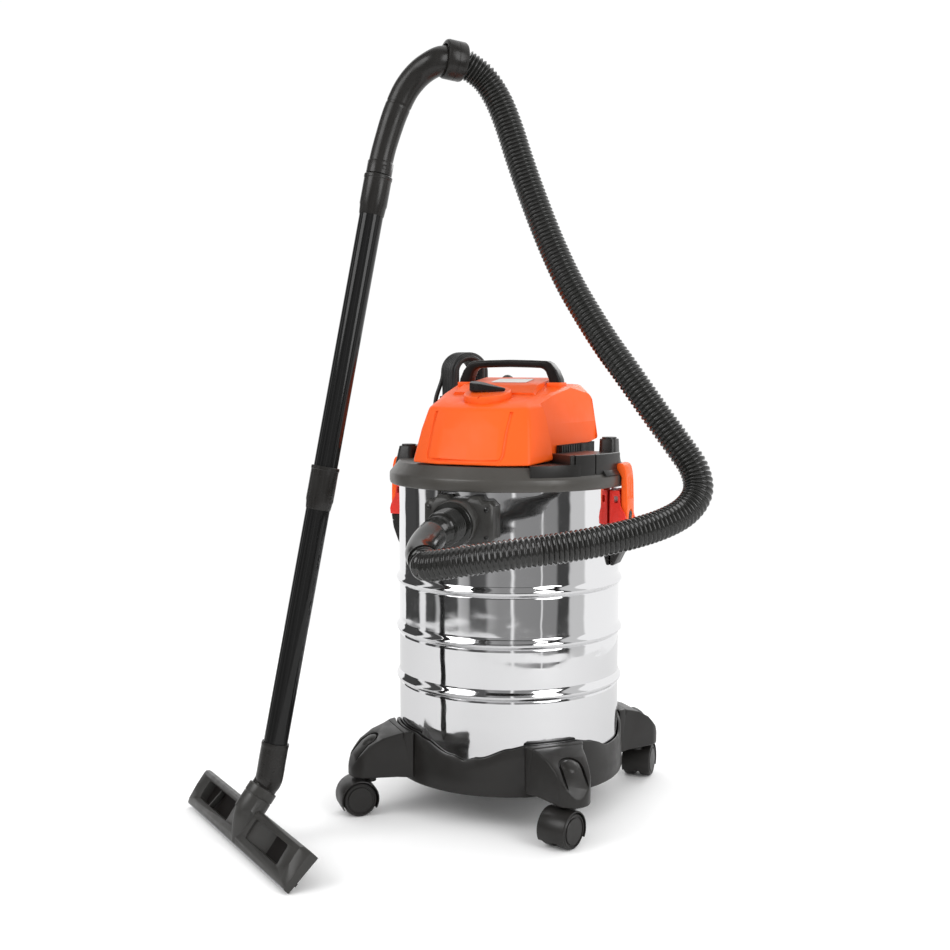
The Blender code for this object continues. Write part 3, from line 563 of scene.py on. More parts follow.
def dim_in_mirrors(made):
    """Paints the floor's reflection in the polished drum a shade darker than the floor that the camera sees.
    """
    tree = made.node_tree
    tint = tree.nodes["Mix"].outputs["Result"]
    mirrored = add_node(tree, "LightPath").outputs["Is Glossy Ray"]
    mix = add_node(tree, "Mix", {"B": (0.62, 0.62, 0.62, 1.0)}, {"Factor": mirrored, "A": tint}, colour=True)
    tree.links.new(mix.outputs["Result"], tree.nodes["Principled BSDF"].inputs["Base Color"])


# Tank


def bead(height):
    """One rolled bead, from its upper end down: a soft shoulder, the crest, and a crease under it."""
    points = [(DRUM_R, height + 0.011), (DRUM_R, height + 0.01)]
    for index in range(9):
        share = index / 8
        out = BEAD_OUT * math.sin(math.pi / 2 * share) ** 1.4
        points.append((DRUM_R + out, height + 0.0085 * (1 - share) ** 1.3))
    for index in range(1, 6):
        share = index / 5
        out = BEAD_OUT * math.cos(math.pi / 2 * share) ** 0.8
        points.append((DRUM_R + out, height - 0.0062 * share))
    for depth, down in ((0.0006, 0.007), (0.0002, 0.008), (0.0, 0.0095), (0.0, 0.0105), (0.0, 0.0115)):
        points.append((DRUM_R - depth, height - down))
    return points


def build_drum():
    inner = DRUM_R - 0.0012
    profile = [
        (0, 0.0545), (inner - 0.004, 0.0545), (inner, 0.058), (inner, 0.459), (inner + 0.001, 0.46),
        (DRUM_R + 0.0015, 0.46), (DRUM_R + 0.0025, 0.4585), (DRUM_R + 0.002, 0.456), (DRUM_R, 0.454),
        (DRUM_R, 0.452),
    ]
    for height in BEAD_HEIGHTS:
        profile += bead(height)
    profile += [(DRUM_R, 0.059), (DRUM_R, 0.057), (DRUM_R - 0.001, 0.0545)]
    profile += [(DRUM_R - 0.003, 0.053), (0, 0.053)]
    drum = lathe("drum_skin", profile, 192)
    carved(drum, placed(disc("hole", 0.0235, -0.02, 0.02), (0, -DRUM_R, INLET_Z), (0, -1, 0)))
    finish_piece(drum, STEEL, "tank", "drum", slot="steel", sharp=40)


def flange_outline(shrink):
    """Inlet flange seen from the front: cut corners below, a stepped and notched top."""
    w = 0.049 - shrink
    h = 0.032 - shrink
    half = [
        (0.0, h - 0.004), (0.0125, h - 0.004), (0.0165, h), (0.03, h), (0.0345, h - 0.006),
        (0.0435 - shrink, h - 0.006), (w, h - 0.0125), (w, -h + 0.01), (w - 0.01, -h),
    ]
    return half + [(-x, z) for x, z in reversed(half[1:])]


def build_inlet():
    rings = []
    for shrink, y in ((0.0, -0.14), (0.0, -0.17), (0.0012, -0.1722), (0.0045, -0.1748)):
        rings.append([(x, y, INLET_Z + z) for x, z in flange_outline(shrink)])
    flange = loft("flange_plate", rings)
    profile = [
        (SOCKET_R, -0.006), (0.03, -0.006), (0.03, 0.0125), (0.0288, 0.0142), (0.0225, 0.0142),
        (SOCKET_R, 0.0128),
    ]
    fused(flange, placed(lathe("socket", profile, 96), INLET_CENTRE + INLET_AXIS * 0.015, INLET_AXIS))
    carved(flange, disc("seat", DRUM_R + 0.0003, 0.36, 0.47, 192))
    carved(flange, placed(disc("bore", SOCKET_R, -0.05, 0.05, 96), INLET_CENTRE, INLET_AXIS))
    softened(flange, 0.0007, 2, 40)
    finish_piece(flange, SOFT_BLACK, "tank", "inlet_flange", sharp=38)
    for index, (x, z) in enumerate(((-0.041, -0.0215), (0.041, -0.0215), (-0.041, 0.0155), (0.041, 0.0155))):
        head = screw_head(f"flange_screw_{index}", 0.0034)
        placed(head, (x, -0.1746, INLET_Z + z), (0, -1, 0), 20 * index)
        finish_piece(head, DARK_STEEL, "tank")


def screw_head(name, radius):
    """A pan head with a cross slot, on its own +Z."""
    profile = [(0, 0.0022), (0.5 * radius, 0.0021), (0.9 * radius, 0.0012), (radius, 0), (0, 0)]
    head = lathe(name, profile, 24)
    for turn in (0, 90):
        carved(head, spun(block("slot", (1.3 * radius, 0.0009, 0.002), (0, 0, 0.002)), turn))
    return head


def build_connector():
    """Spigot with a collar in its middle and five ribs towards its end."""
    bore = SPIGOT_BORE
    profile = [
        (bore, 0.0), (0.0205, 0.0), (0.0205, 0.0495), (0.0285, 0.05), (0.029, 0.0505), (0.029, 0.054),
        (0.0285, 0.0545), (0.0218, 0.0552),
    ]
    for index in range(5):
        low = 0.0562 + index * 0.0054
        rib = ((0.0214, 0.0), (0.023, 0.0006), (0.0234, 0.0014), (0.023, 0.0024), (0.0214, 0.0034))
        profile += [(r, low + z) for r, z in rib]
    profile += [(0.0214, 0.0836), (0.0205, SPIGOT_LENGTH), (bore, SPIGOT_LENGTH)]
    start = INLET_CENTRE + INLET_AXIS * SPIGOT_START
    spigot = placed(lathe("connector_spigot", profile, 96), start, INLET_AXIS)
    finish_piece(spigot, HOSE, "tank", "hose_connector")


def cuff_route():
    """Centre line of the moulded bend, from the spigot's end to where the hose starts."""
    start = INLET_CENTRE + INLET_AXIS * (SPIGOT_START + SPIGOT_LENGTH + 0.0003)
    return [
        start,
        start + INLET_AXIS * 0.012,
        (0.0006, -0.26, 0.402),
        (0.003, -0.28, 0.3955),
        (0.0085, -0.2985, 0.3893),
        (0.019, -0.313, 0.385),
    ]


def hose_route():
    """Centre line of the hose: round the drum's right side, then up and over to the collar."""
    cuff = smooth_path(cuff_route(), 0.004)
    out = (cuff[-1] - cuff[-2]).normalized()
    return [
        cuff[-1] + out * 0.0025,
        cuff[-1] + out * 0.012,
        cuff[-1] + out * 0.021,
        (0.055, -0.334, 0.3845),
        (0.086, -0.3325, 0.3905),
        (0.118, -0.3265, 0.396),
        (0.146, -0.3155, 0.4005),
        (0.178, -0.294, 0.4045),
        (0.216, -0.266, 0.4105),
        (0.252, -0.232, 0.4185),
        (0.282, -0.196, 0.429),
        (0.301, -0.166, 0.443),
        (0.309, -0.146, 0.464),
        (0.301, -0.136, 0.49),
        (0.279, -0.133, 0.52),
        (0.247, -0.133, 0.562),
        (0.213, -0.132, 0.607),
        (0.184, -0.127, 0.643),
        (0.157, -0.121, 0.68),
        (0.131, -0.115, 0.719),
        (0.108, -0.109, 0.76),
        (0.088, -0.105, 0.802),
        (0.07, -0.102, 0.844),
        (0.054, -0.101, 0.886),
        (0.04, -0.101, 0.926),
        (0.026, -0.104, 0.96),
        (0.01, -0.112, 0.986),
        COLLAR_CENTRE + SWIVEL_AXIS * 0.0146,
    ]


def ribbed_line(route, first_pitch, last_pitch, samples):
    """Points along a hose, so many to each rib. The ribs lie closer together towards the far end."""
    fine = smooth_path(route, 0.0005)
    spacing = path_length(fine) / (len(fine) - 1)
    points = []
    place = 0.0
    while place < len(fine) - 1:
        index = int(place)
        points.append(fine[index].lerp(fine[index + 1], place - index))
        pitch = first_pitch + (last_pitch - first_pitch) * place / len(fine)
        place += pitch / samples / spacing
    return points


def build_hose():
    step = 0.00125
    cuff_line = smooth_path(cuff_route(), step)
    radii = []
    for index in range(len(cuff_line)):
        # Four steps to each rib, and a plain stretch after the first 26 mm
        groove = 0.0016 * (1 - math.cos(2 * math.pi * index / 4)) / 2
        radii.append(0.0196 - (groove if index * step < 0.026 else 0.0006))
    cuff = sweep("cuff_bend", cuff_line, radii, 56)
    finish_piece(cuff, HOSE, "tank", "hose_cuff", slot="black_rubber", sharp=45)
    swell = (0.0163, 0.0172, 0.0181, 0.0185, 0.0181, 0.0172)
    route = ribbed_line(hose_route(), 0.0063, 0.0052, len(swell))
    radii = [swell[index % len(swell)] for index in range(len(route))]
    hose = sweep("ribbed_hose", route, radii, 48)
    finish_piece(hose, HOSE, "tank", "suction_hose", slot="hose_plastic", sharp=80)
    half = [
        (COLLAR_OUT - 0.0004, 0.0005), (COLLAR_OUT, 0.001), (COLLAR_OUT, 0.0105), (0.024, 0.0128),
        (0.0215, 0.014), (0.019, 0.014),
    ]
    profile = [(r, -z) for r, z in reversed(half)] + half
    collar = placed(lathe("swivel_ring", profile, 96), COLLAR_CENTRE, SWIVEL_AXIS)
    finish_piece(collar, SATIN, "tank", "swivel_collar", sharp=28)


# Base and casters


def skirt_height(angle):
    """Top of the tray's skirt: high beside each arm, with soft steps down to a low middle."""
    away = min(abs((angle - arm + 180) % 360 - 180) for arm in ARM_ANGLES.values())
    if away < 14:
        return 0.116
    if away < 21:
        return 0.116 - 0.0045 * (away - 14) / 7
    return 0.098 + 0.0135 * 0.5 * (1 + math.cos(math.pi * min(1.0, (away - 21) / 17)))


def tray_section(degrees):
    """The tray's skirt and floor at one angle; a small notch marks the front."""
    top = skirt_height(degrees)
    from_front = abs((degrees - 270 + 180) % 360 - 180)
    top -= 0.0055 * max(0.0, 1 - from_front / 6)
    return [
        (0.0, 0.0527), (SKIRT_R, 0.0527), (SKIRT_R, top - 0.001), (0.1568, top), (0.1588, top),
        (0.16, top - 0.0015), (0.1606, top - 0.015), (0.1618, 0.07), (0.162, 0.052), (0.1606, 0.048),
        (0.158, 0.047), (0.0, 0.047),
    ]


def build_tray():
    steps = 240
    tray = turned("tray_skin", [tray_section(360 * step / steps) for step in range(steps)])
    finish_piece(tray, BLACK, "tank", "base_tray", sharp=40)


def horseshoe(radius, width, length, count):
    """A U-shaped outline, open towards +X, its bend towards the drum."""
    outer = arc((0, 0), radius + width, 90, 270, count)
    inner = arc((0, 0), radius, 270, 90, count)
    wide = radius + width
    return [(length, wide), *outer, (length, -wide), (length, -radius), *inner, (length, radius)]


def build_arm(name, angle):
    tip = arc((0.2125, 0), 0.0245, 72, -72, 17)
    outline = [
        (0.148, -0.044), (0.148, 0.044), (0.16, 0.041), (0.178, 0.0325), *tip, (0.178, -0.0325),
        (0.16, -0.041),
    ]
    arm = slab("arm_" + name, outline, 0.054, 0.121)
    # The top falls from the skirt to the tip and rolls over at the end
    keep = [
        (0.1, 0.03), (0.1, 0.118), (0.166, 0.1172), (0.196, 0.1085), (0.214, 0.098), (0.229, 0.082),
        (0.2385, 0.062), (0.24, 0.03),
    ]
    combined(arm, [side_slab("keep", keep, 0.08)], "INTERSECT")
    carved(arm, disc("arm_seat", ARM_SEAT_R, 0.03, 0.16, 192))
    softened(arm, 0.003, 4, 25)
    # Horseshoe groove round the dome over the caster's stem
    groove = slab("groove", horseshoe(0.0128, 0.0038, 0.04, 16), 0.0, 0.03)
    slope = Matrix.Rotation(math.radians(38), 4, "Y")
    groove.data.transform(Matrix.Translation((DOME_X, 0, 0.098)) @ slope @ Matrix.Translation((0, 0, -0.002)))
    carved(arm, groove)
    # Parting line where the arm meets the skirt
    carved(arm, block("line", (0.0009, 0.12, 0.08), (0.1695, 0, 0.148)))
    carved(arm, disc_at("stem_socket", 0.0048, (STEM_R, 0, 0.04), 0.04))
    softened(arm, 0.0005, 2, 40)
    spun(arm, angle)
    finish_piece(arm, BLACK, "tank", "caster_arm_" + name, sharp=35)
    build_dome(name, angle)


def build_dome(name, angle):
    """The plug over the end of the caster's stem."""
    profile = [
        (0, 0.0056), (0.005, 0.0053), (0.009, 0.0042), (0.0113, 0.002), (0.0119, -0.001), (0.0119, -0.012),
        (0, -0.012),
    ]
    dome = lathe("dome_" + name, profile, 56)
    spun(placed(dome, (DOME_X, 0, 0.0985), (0.62, 0, 0.79)), angle)
    finish_piece(dome, BLACK, "tank")


def build_caster(name, angle):
    """Hood with its stem and two wheels, trailing in the direction that TRAIL_ANGLES gives."""
    a = math.radians(angle)
    place = Matrix.Translation((STEM_R * math.cos(a), STEM_R * math.sin(a), 0))
    place = place @ Matrix.Rotation(math.radians(TRAIL_ANGLES[name] + 90), 4, "Z")
    axle = Vector((0, -TRAIL, WHEEL_R))
    hood = placed(disc("hood_" + name, HOOD_R, -0.021, 0.021, 64, 0.0016), axle, (1, 0, 0))
    for side in (-1, 1):
        hub = axle + Vector((side * 0.0131, 0, 0))
        carved(hood, placed(disc("pocket", 0.0246, -0.0095, 0.0095, 64), hub, (1, 0, 0)))
    carved(hood, block("mouth", (0.06, 0.08, 0.03), (0, -TRAIL, -0.004)))
    fused(hood, disc_at("boss", 0.0085, (0, 0, 0.044), 0.006, 48))
    softened(hood, 0.0005, 2, 40)
    hood.data.transform(place)
    finish_piece(hood, BLACK, "caster_" + name, "caster_hood_" + name, sharp=38)
    profile = [
        (0, 0.078), (0.0038, 0.078), (0.0042, 0.0772), (0.0042, 0.056), (0.0056, 0.0552), (0.0056, 0.05),
        (0.0042, 0.049), (0, 0.049),
    ]
    stem = lathe("stem_" + name, profile, 32)
    stem.data.transform(place)
    finish_piece(stem, METAL, "caster_" + name, slot="steel")
    for side, node in ((-1, "wheel_inner_"), (1, "wheel_outer_")):
        profile = [
            (0, 0.0084), (0.0165, 0.0084), (0.0172, 0.0078), (0.0176, 0.0066), (0.0196, 0.0066),
            (0.02, 0.0078), (0.0212, 0.008), (0.0228, 0.0066), (WHEEL_R, 0.004), (WHEEL_R, -0.006),
            (0.0225, -0.008), (0, -0.008),
        ]
        wheel = lathe(node + "look_" + name, profile, 64)
        placed(wheel, axle + Vector((side * 0.0121, 0, 0)), (side, 0, 0))
        wheel.data.transform(place)
        finish_piece(wheel, BLACK, "wheels_" + name, node + name, slot="black_rubber", sharp=30)


# Latches


def build_bracket(name, angle):
    """Red cheeks on the drum, with a window in each, and the black foot below them."""
    cheek = [
        (0.1555, 0.4), (0.178, 0.4), (0.179, 0.408), (0.177, 0.415), (0.1705, 0.426), (0.168, 0.447),
        (0.1555, 0.447),
    ]
    bracket = side_slab("bracket_" + name, cheek, 0.0205)
    carved(bracket, block("slot", (0.0225, 0.0344, 0.06), (0.1705, 0, 0.4235)))
    for side in (-1, 1):
        carved(bracket, block("window", (0.006, 0.006, 0.009), (0.164, side * 0.019, 0.435), 0.001))
    softened(bracket, 0.0007, 2)
    spun(bracket, angle)
    finish_piece(bracket, RED, "tank", "latch_bracket_" + name, slot="dark_red_plastic", sharp=30)
    outline = [
        (0.1553, 0.3995), (0.1553, 0.344), (0.16, 0.344), (0.169, 0.362), (0.176, 0.38), (0.179, 0.3995),
    ]
    foot = side_slab("foot_" + name, outline, 0.0165)
    softened(foot, 0.0016, 3)
    for z in (0.372, 0.381, 0.39):
        carved(foot, block("foot_line", (0.01, 0.04, 0.0011), (0.18, 0, z)))
    spun(foot, angle)
    finish_piece(foot, BLACK, "tank", "latch_foot_" + name, sharp=30)


def build_lever(name, angle):
    """The lever, hooked over the ring at its top, with three flutes."""
    side = [
        (0.17, 0.402), (0.1782, 0.402), (0.179, 0.416), (0.1788, 0.433), (0.1782, 0.456), (0.177, 0.47),
        (0.1752, 0.478), (0.1728, 0.4822), (0.1695, 0.4835), (0.1655, 0.4835), (0.1634, 0.4826),
        (0.1628, 0.4808), (0.1628, 0.4752), (0.169, 0.4672), (0.17, 0.465),
    ]
    lever = side_slab("lever_" + name, side, 0.0155)
    softened(lever, 0.0014, 3, 35)
    for y in (-0.0075, 0.0, 0.0075):
        carved(lever, placed(disc("flute", 0.0026, -0.015, 0.015, 24), (0.1799, y, 0.45)))
    # Thumb arch cut up from the lower edge, with a black stud behind it
    arch = [(0.008, -0.02), *arc((0, 0.011), 0.008, 0, 180, 13), (-0.008, -0.02)]
    outwards = Matrix.Rotation(math.pi / 2, 4, "Z") @ Matrix.Rotation(math.pi / 2, 4, "X")
    thumb = slab("thumb", arch, -0.006, 0.006)
    thumb.data.transform(Matrix.Translation((0.18, 0, 0.402)) @ outwards)
    carved(lever, thumb)
    softened(lever, 0.0004, 2, 45)
    spun(lever, angle)
    finish_piece(lever, ORANGE, "latch_" + name, "latch_lever_" + name, slot="orange_plastic", sharp=30)
    profile = [
        (0, 0.0026), (0.0026, 0.0026), (0.0032, 0.0016), (0.0038, 0.0026), (0.0054, 0.0024),
        (0.0064, 0.001), (0.0064, -0.004), (0, -0.004),
    ]
    stud = placed(lathe("thumb_stud_" + name, profile, 40), (0.1768, 0, 0.4128), (1, 0, 0))
    spun(stud, angle)
    finish_piece(stud, BLACK, "latch_" + name, sharp=30)


def build_latch(name, angle):
    """A latch on the right is made at 0 degrees and the one on the left at 180."""
    build_bracket(name, angle)
    build_lever(name, angle)
    pin = placed(disc("pin_" + name, 0.0024, -0.0204, 0.0204, 32, 0.0005), (PIVOT_X, 0, PIVOT_Z), (0, 1, 0))
    spun(pin, angle)
    finish_piece(pin, METAL, "tank", "latch_pin_" + name, slot="steel")


# Head


def side_name(side):
    return "left" if side < 0 else "right"


def build_housing():
    profile = [
        (0.03, DECK_TOP), (0.1535, DECK_TOP), (0.1552, 0.4829), (0.166, 0.4692), (0.1674, 0.4676),
        (0.168, 0.466), (RING_RIM, 0.461), (0.168, 0.456), (0.1672, 0.453), (0.166, 0.452),
        (0.1645, 0.4522), (0.1645, 0.4648), (0.15, 0.4648), (0.15, 0.4525), (0.1465, 0.4525),
        (0.1465, 0.478), (0.03, 0.478),
    ]
    ring = lathe("ring_deck", profile, 240)
    # The ring's material carries painted sheen in its lifted black
    finish_piece(ring, RING_TONE_AND_SHEEN, "head", "head_housing", sharp=28)
    for side in (-1, 1):
        build_post(side)
        build_step_block(side)


def sector(inner, outer, start, end, count=14):
    """Part of a flat ring, between two angles in degrees."""
    return arc((0, 0), outer, start, end, count) + arc((0, 0), inner, end, start, count)


def build_post(side):
    """Round-topped post beside a latch, with an S-shaped slot in its cap."""
    where = Vector((side * 0.145, 0.008 if side > 0 else -0.026, 0))
    rise = 0.009 if side > 0 else -0.006
    levels = ((0.47, 0.0155, 0.02), (0.486, 0.013, 0.0165), (0.495, 0.012, 0.014))
    rings = []
    for z, rx, ry in (*levels, (0.506 + rise, 0.0114, 0.0125)):
        rings.append([(where.x + side * x, where.y + y, z) for x, y in rounded(rx, ry, 0.007, 7)])
    post = loft("post_" + side_name(side), rings)
    fused(post, disc_at("cap", 0.01, (where.x, where.y, 0.49), 0.0185 + rise, 48))
    for bend in (-1, 1):
        points = arc((where.x, where.y + bend * 0.003), 0.003, -90 * bend, 200 - 90 * bend, 12)
        carved(post, sweep("s_slot", [Vector((x, y, 0.5087 + rise)) for x, y in points], 0.001, 8))
    softened(post, 0.0007, 2, 30)
    finish_piece(post, BLACK, "head", sharp=30)


def build_step_block(side):
    """Raised step on the ring beside a latch, with two slots and a pointed tab, on the right or the left."""
    tag = side_name(side)
    low = slab("step_low_" + tag, sector(0.11, 0.165, -58, -33), 0.468, 0.4862)
    high = slab("step_high_" + tag, sector(0.112, 0.1645, -38.5, -1), 0.468, 0.4985)
    # The low step runs out to a point at its front end
    carved(low, spun(block("run_out", (0.08, 0.02, 0.04), (0.165, -0.004, 0.496)), -60))
    softened(low, 0.0022, 4)
    softened(high, 0.0018, 4)
    for degrees in (-36.0, -23.5):
        slot = block("slot", (0.012, 0.0022, 0.032), (0.165, 0, 0.486))
        carved(high, spun(slot, degrees))
    tab = side_slab("step_tab_" + tag, [(0.15, 0.469), (0.17, 0.469), (0.16, 0.481), (0.15, 0.481)], 0.018)
    softened(tab, 0.0008, 2)
    spun(tab, -12)
    for piece in (low, high, tab):
        if side < 0:
            spun(piece, 180)
        finish_piece(piece, BLACK, "head", sharp=30)


# Half outlines of the motor cover in X and Y, from its foot up
COVER_FOOT = [
    (0, -0.152), (0.045, -0.149), (0.085, -0.134), (0.1, -0.062), (0.108, 0.01), (0.11, 0.065),
    (0.087, 0.1), (0, 0.108),
]
COVER_WAIST = [
    (0, -0.136), (0.042, -0.1325), (0.0785, -0.12), (0.096, -0.056), (0.1055, 0.01), (0.107, 0.062),
    (0.084, 0.096), (0, 0.104),
]
COVER_EDGE = [
    (0, -0.12), (0.038, -0.1175), (0.072, -0.108), (0.091, -0.05), (0.1015, 0.01), (0.1025, 0.06),
    (0.08, 0.09), (0, 0.098),
]
COVER_CROWN = [
    (0, -0.108), (0.033, -0.105), (0.06, -0.094), (0.077, -0.045), (0.086, 0.01), (0.086, 0.055),
    (0.068, 0.08), (0, 0.087),
]


def cover_ring(points, heights, shrink=1.0):
    """A whole ring of the cover from half an outline and its points' heights."""
    half = [(x * shrink, y * shrink, z) for (x, y), z in zip(points, heights)]
    return half + [(-x, y, z) for x, y, z in reversed(half[1:-1])]


def outline_y(outline, reach):
    """Y of a half outline where its X is reach."""
    for (x0, y0), (x1, y1) in zip(outline, outline[1:]):
        if x0 <= reach <= x1:
            return y0 + (y1 - y0) * (reach - x0) / (x1 - x0)


def front_point(x, z, out):
    """A point so far out from the cover's front panel."""
    foot, waist, edge = 0.4855, 0.53, 0.5582
    if z < waist:
        low, high, share = COVER_FOOT, COVER_WAIST, (z - foot) / (waist - foot)
    else:
        low, high, share = COVER_WAIST, COVER_EDGE, (z - waist) / (edge - waist)
    start = outline_y(low, abs(x))
    return Vector((x, start + (outline_y(high, abs(x)) - start) * share - out, z))


def build_cover():
    rings = [
        cover_ring(COVER_FOOT, (0.485, 0.485, 0.4855, 0.4905, 0.506, 0.512, 0.512, 0.512)),
        cover_ring(COVER_WAIST, (0.53, 0.53, 0.53, 0.53, 0.536, 0.538, 0.538, 0.538)),
        cover_ring(COVER_EDGE, (0.558, 0.5585, 0.56, 0.564, 0.568, 0.57, 0.57, 0.57)),
        cover_ring(COVER_CROWN, (0.564, 0.5645, 0.567, 0.577, 0.5865, 0.588, 0.588, 0.587)),
        cover_ring(COVER_CROWN, (0.579, 0.579, 0.58, 0.585) + (0.59,) * 4, 0.4),
    ]
    cover = loft("cover_shell", rings)
    softened(cover, 0.004, 4, 14)
    # Sunk side panel: an upright wall below, a slope above it
    for side in (-1, 1):
        wall = [(0.0, 0.46), (0.0, 0.537), (-0.0115, 0.59), (0.06, 0.59), (0.06, 0.46)]
        ends = ((-0.08, 0.0828), (0.062, 0.1068))
        sunk = [[(side * (x + reach), y, z) for x, z in wall] for y, reach in ends]
        carved(cover, loft("side_panel", sunk))
    carve_panel_groove(cover)
    room = [[(x * 0.86, y * 0.9, z - 0.01) for x, y, z in ring] for ring in rings]
    room[0] = [(x, y, z - 0.004) for x, y, z in room[0]]
    carved(cover, loft("motor_room", room))
    fuse_boss(cover)
    # Crest: low at its front, highest behind the handle, closed by a slope at the back
    rows = ((-0.056, 0.058, 0.5785), (-0.032, 0.055, 0.5885), (0.04, 0.052, 0.5975), (0.082, 0.055, 0.5805))
    crest = [[(-x - 0.004, y, 0.574), (x + 0.004, y, 0.574), (x, y, z), (-x, y, z)] for y, x, z in rows]
    fused(cover, loft("crest", crest))
    softened(cover, 0.0009, 2, 22)
    finish_piece(cover, ORANGE, "head", "motor_cover", slot="orange_plastic", sharp=24)
    build_label()


def carve_panel_groove(cover):
    """Groove that frames the front panel."""
    route = [
        (-0.0575, 0.5545), (-0.0585, 0.53), (-0.0595, 0.501), (-0.058, 0.4945), (-0.052, 0.4915),
        (0.0, 0.4905), (0.042, 0.4915), (0.048, 0.4945), (0.05, 0.501), (0.0505, 0.53), (0.0515, 0.5545),
    ]
    line = smooth_path([front_point(x, z, 0.0002) for x, z in route], 0.003)
    carved(cover, sweep("panel_groove", line, 0.0024, 10))


def fuse_boss(cover):
    """Round boss under the switch, with a mark cut in its top."""
    profile = [(0, 0.0072), (0.03, 0.0072), (0.0318, 0.0062), (0.0325, 0.0045), (0.033, -0.014), (0, -0.014)]
    boss = lathe("boss", profile, 96)
    fused(cover, placed(boss, BOSS_CENTRE, BOSS_AXIS))
    carved(cover, placed(block("notch", (0.0018, 0.012, 0.004), (0, -0.026, 0.0075)), BOSS_CENTRE, BOSS_AXIS))


def build_label():
    """Blank plate that lies on the crest's slope."""
    label = slab("label_face", rounded(0.026, 0.0165, 0.002), 0.0002, 0.001)
    slope = Matrix.Rotation(math.atan2(0.009, 0.074), 4, "X")
    label.data.transform(Matrix.Translation((0.004, 0.003, 0.593)) @ slope)
    finish_piece(label, LABEL, "head", "label_plate", slot="white_label")


def build_grille(side):
    """Louvred wall in the gap under the cover's side edge."""
    name = side_name(side)
    wall = [(0.0935, -0.05), (0.1, 0.01), (0.101, 0.064), (0.09, 0.064), (0.09, -0.05)]
    parts = slab("grille_look_" + name, wall, 0.4838, 0.508)
    for index in range(22):
        share = (index + 0.5) / 22
        y = -0.05 + 0.114 * share
        x = 0.0935 + (0.008 if share > 0.5 else 0.014 * share)
        joined(parts, block("louvre", (0.006, 0.0018, 0.024), (x + 0.0005, y, 0.4958)))
    if side < 0:
        parts.data.transform(Matrix.Scale(-1, 4, (1, 0, 0)))
        parts.data.flip_normals()
    finish_piece(parts, BLACK, "head", "vent_grille_" + name, sharp=30)


def build_handle():
    outer = [
        (-0.0775, 0.586), (-0.076, 0.596), (-0.0705, 0.608), (-0.062, 0.618), (-0.056, 0.621),
        (-0.03, 0.6222),
    ]
    inner = [
        (-0.06, 0.586), (-0.059, 0.595), (-0.0545, 0.606), (-0.051, 0.61), (-0.046, 0.6112),
        (-0.03, 0.6118),
    ]
    outline = outer + [(0, 0.6228)] + [(-x, z) for x, z in reversed(outer)]
    outline += [(-x, z) for x, z in inner] + [(0, 0.6124)] + [(x, z) for x, z in reversed(inner)]
    handle = side_slab("handle_grip", outline, 0.01)
    softened(shifted(handle, (0, 0.008, 0)), 0.0036, 5, 32)
    finish_piece(handle, GRIP, "head", "carry_handle", sharp=50)
    for side in (-1, 1):
        pad = slab("handle_pad_" + side_name(side), rounded(0.011, 0.0135, 0.004), 0.584, 0.5915)
        softened(shifted(pad, (side * 0.0675, 0.008, 0)), 0.001, 2)
        finish_piece(pad, ORANGE, "head", slot="orange_plastic")
    profile = [(0, 0.008), (0.004, 0.0074), (0.0072, 0.0052), (0.0085, 0.0015), (0.0085, -0.006), (0, -0.006)]
    cap = placed(lathe("rear_cap", profile, 48), (-0.03, 0.066, 0.593))
    finish_piece(cap, SATIN, "head")


def build_switch():
    """Wedge-shaped knob: high rounded end, pointed low end, on a short stem."""
    top = [
        (-0.025, 0.0), (-0.0235, 0.0062), (-0.017, 0.0082), (-0.008, 0.0078), (0.026, 0.0016),
        (0.0275, 0.0),
    ]
    outline = top + [(x, -y) for x, y in reversed(top[1:-1])]
    low = [(x * 0.94, y * 0.9, 0.001) for x, y in outline]
    waist = [(x, y, 0.0035) for x, y in outline]
    high = [(x * 0.97, y * 0.8, 0.0135 - 0.0085 * max(0.0, (x + 0.015) / 0.0425)) for x, y in outline]
    knob = loft("knob_wedge", [low, waist, high])
    softened(knob, 0.0012, 3, 25)
    placed(knob, BOSS_TOP, BOSS_AXIS)
    finish_piece(knob, SATIN, "power_switch", "switch_knob", sharp=35)


# Mains cord


def hank_frame():
    """Frame of the hank: X along its width, Y outwards through its depth, Z up."""
    return Matrix.Translation(HANK_CENTRE) @ Matrix.Rotation(HANK_ANGLE, 4, "Z")


def hank_point(x, y, z):
    """A point given in the hank's frame."""
    return hank_frame() @ Vector((x, y, z))


def lead_route(tip):
    """From the gland's tip, round and up to the outer face of the hank's top."""
    return [
        tip + GLAND_AXIS * 0.0003,
        tip + GLAND_AXIS * 0.014,
        hank_point(0.07, 0.002, -0.008),
        hank_point(0.066, 0.024, 0.008),
        hank_point(0.052, 0.0355, 0.032),
        hank_point(0.032, 0.0355, 0.053),
        hank_point(0.012, 0.034, 0.062),
        hank_point(0.0, LEAD_Y, HANK_STRAIGHT + HANK_R),
    ]


def racetrack(radius, turns):
    """Place on an upright oval turn, counted in turns from its top towards -X and down."""
    quarter = math.pi * radius / 2
    lap = 4 * quarter + 4 * HANK_STRAIGHT
    run = (turns % 1.0) * lap
    if run < quarter:
        a = run / radius
        return -radius * math.sin(a), HANK_STRAIGHT + radius * math.cos(a)
    run -= quarter
    if run < 2 * HANK_STRAIGHT:
        return -radius, HANK_STRAIGHT - run
    run -= 2 * HANK_STRAIGHT
    if run < 2 * quarter:
        a = run / radius
        return -radius * math.cos(a), -HANK_STRAIGHT - radius * math.sin(a)
    run -= 2 * quarter
    if run < 2 * HANK_STRAIGHT:
        return radius, -HANK_STRAIGHT + run
    a = (run - 2 * HANK_STRAIGHT) / radius
    return radius * math.cos(a), HANK_STRAIGHT + radius * math.sin(a)


def eased(share):
    """0 to 1 with a soft start and a soft end."""
    return share * share * (3 - 2 * share)


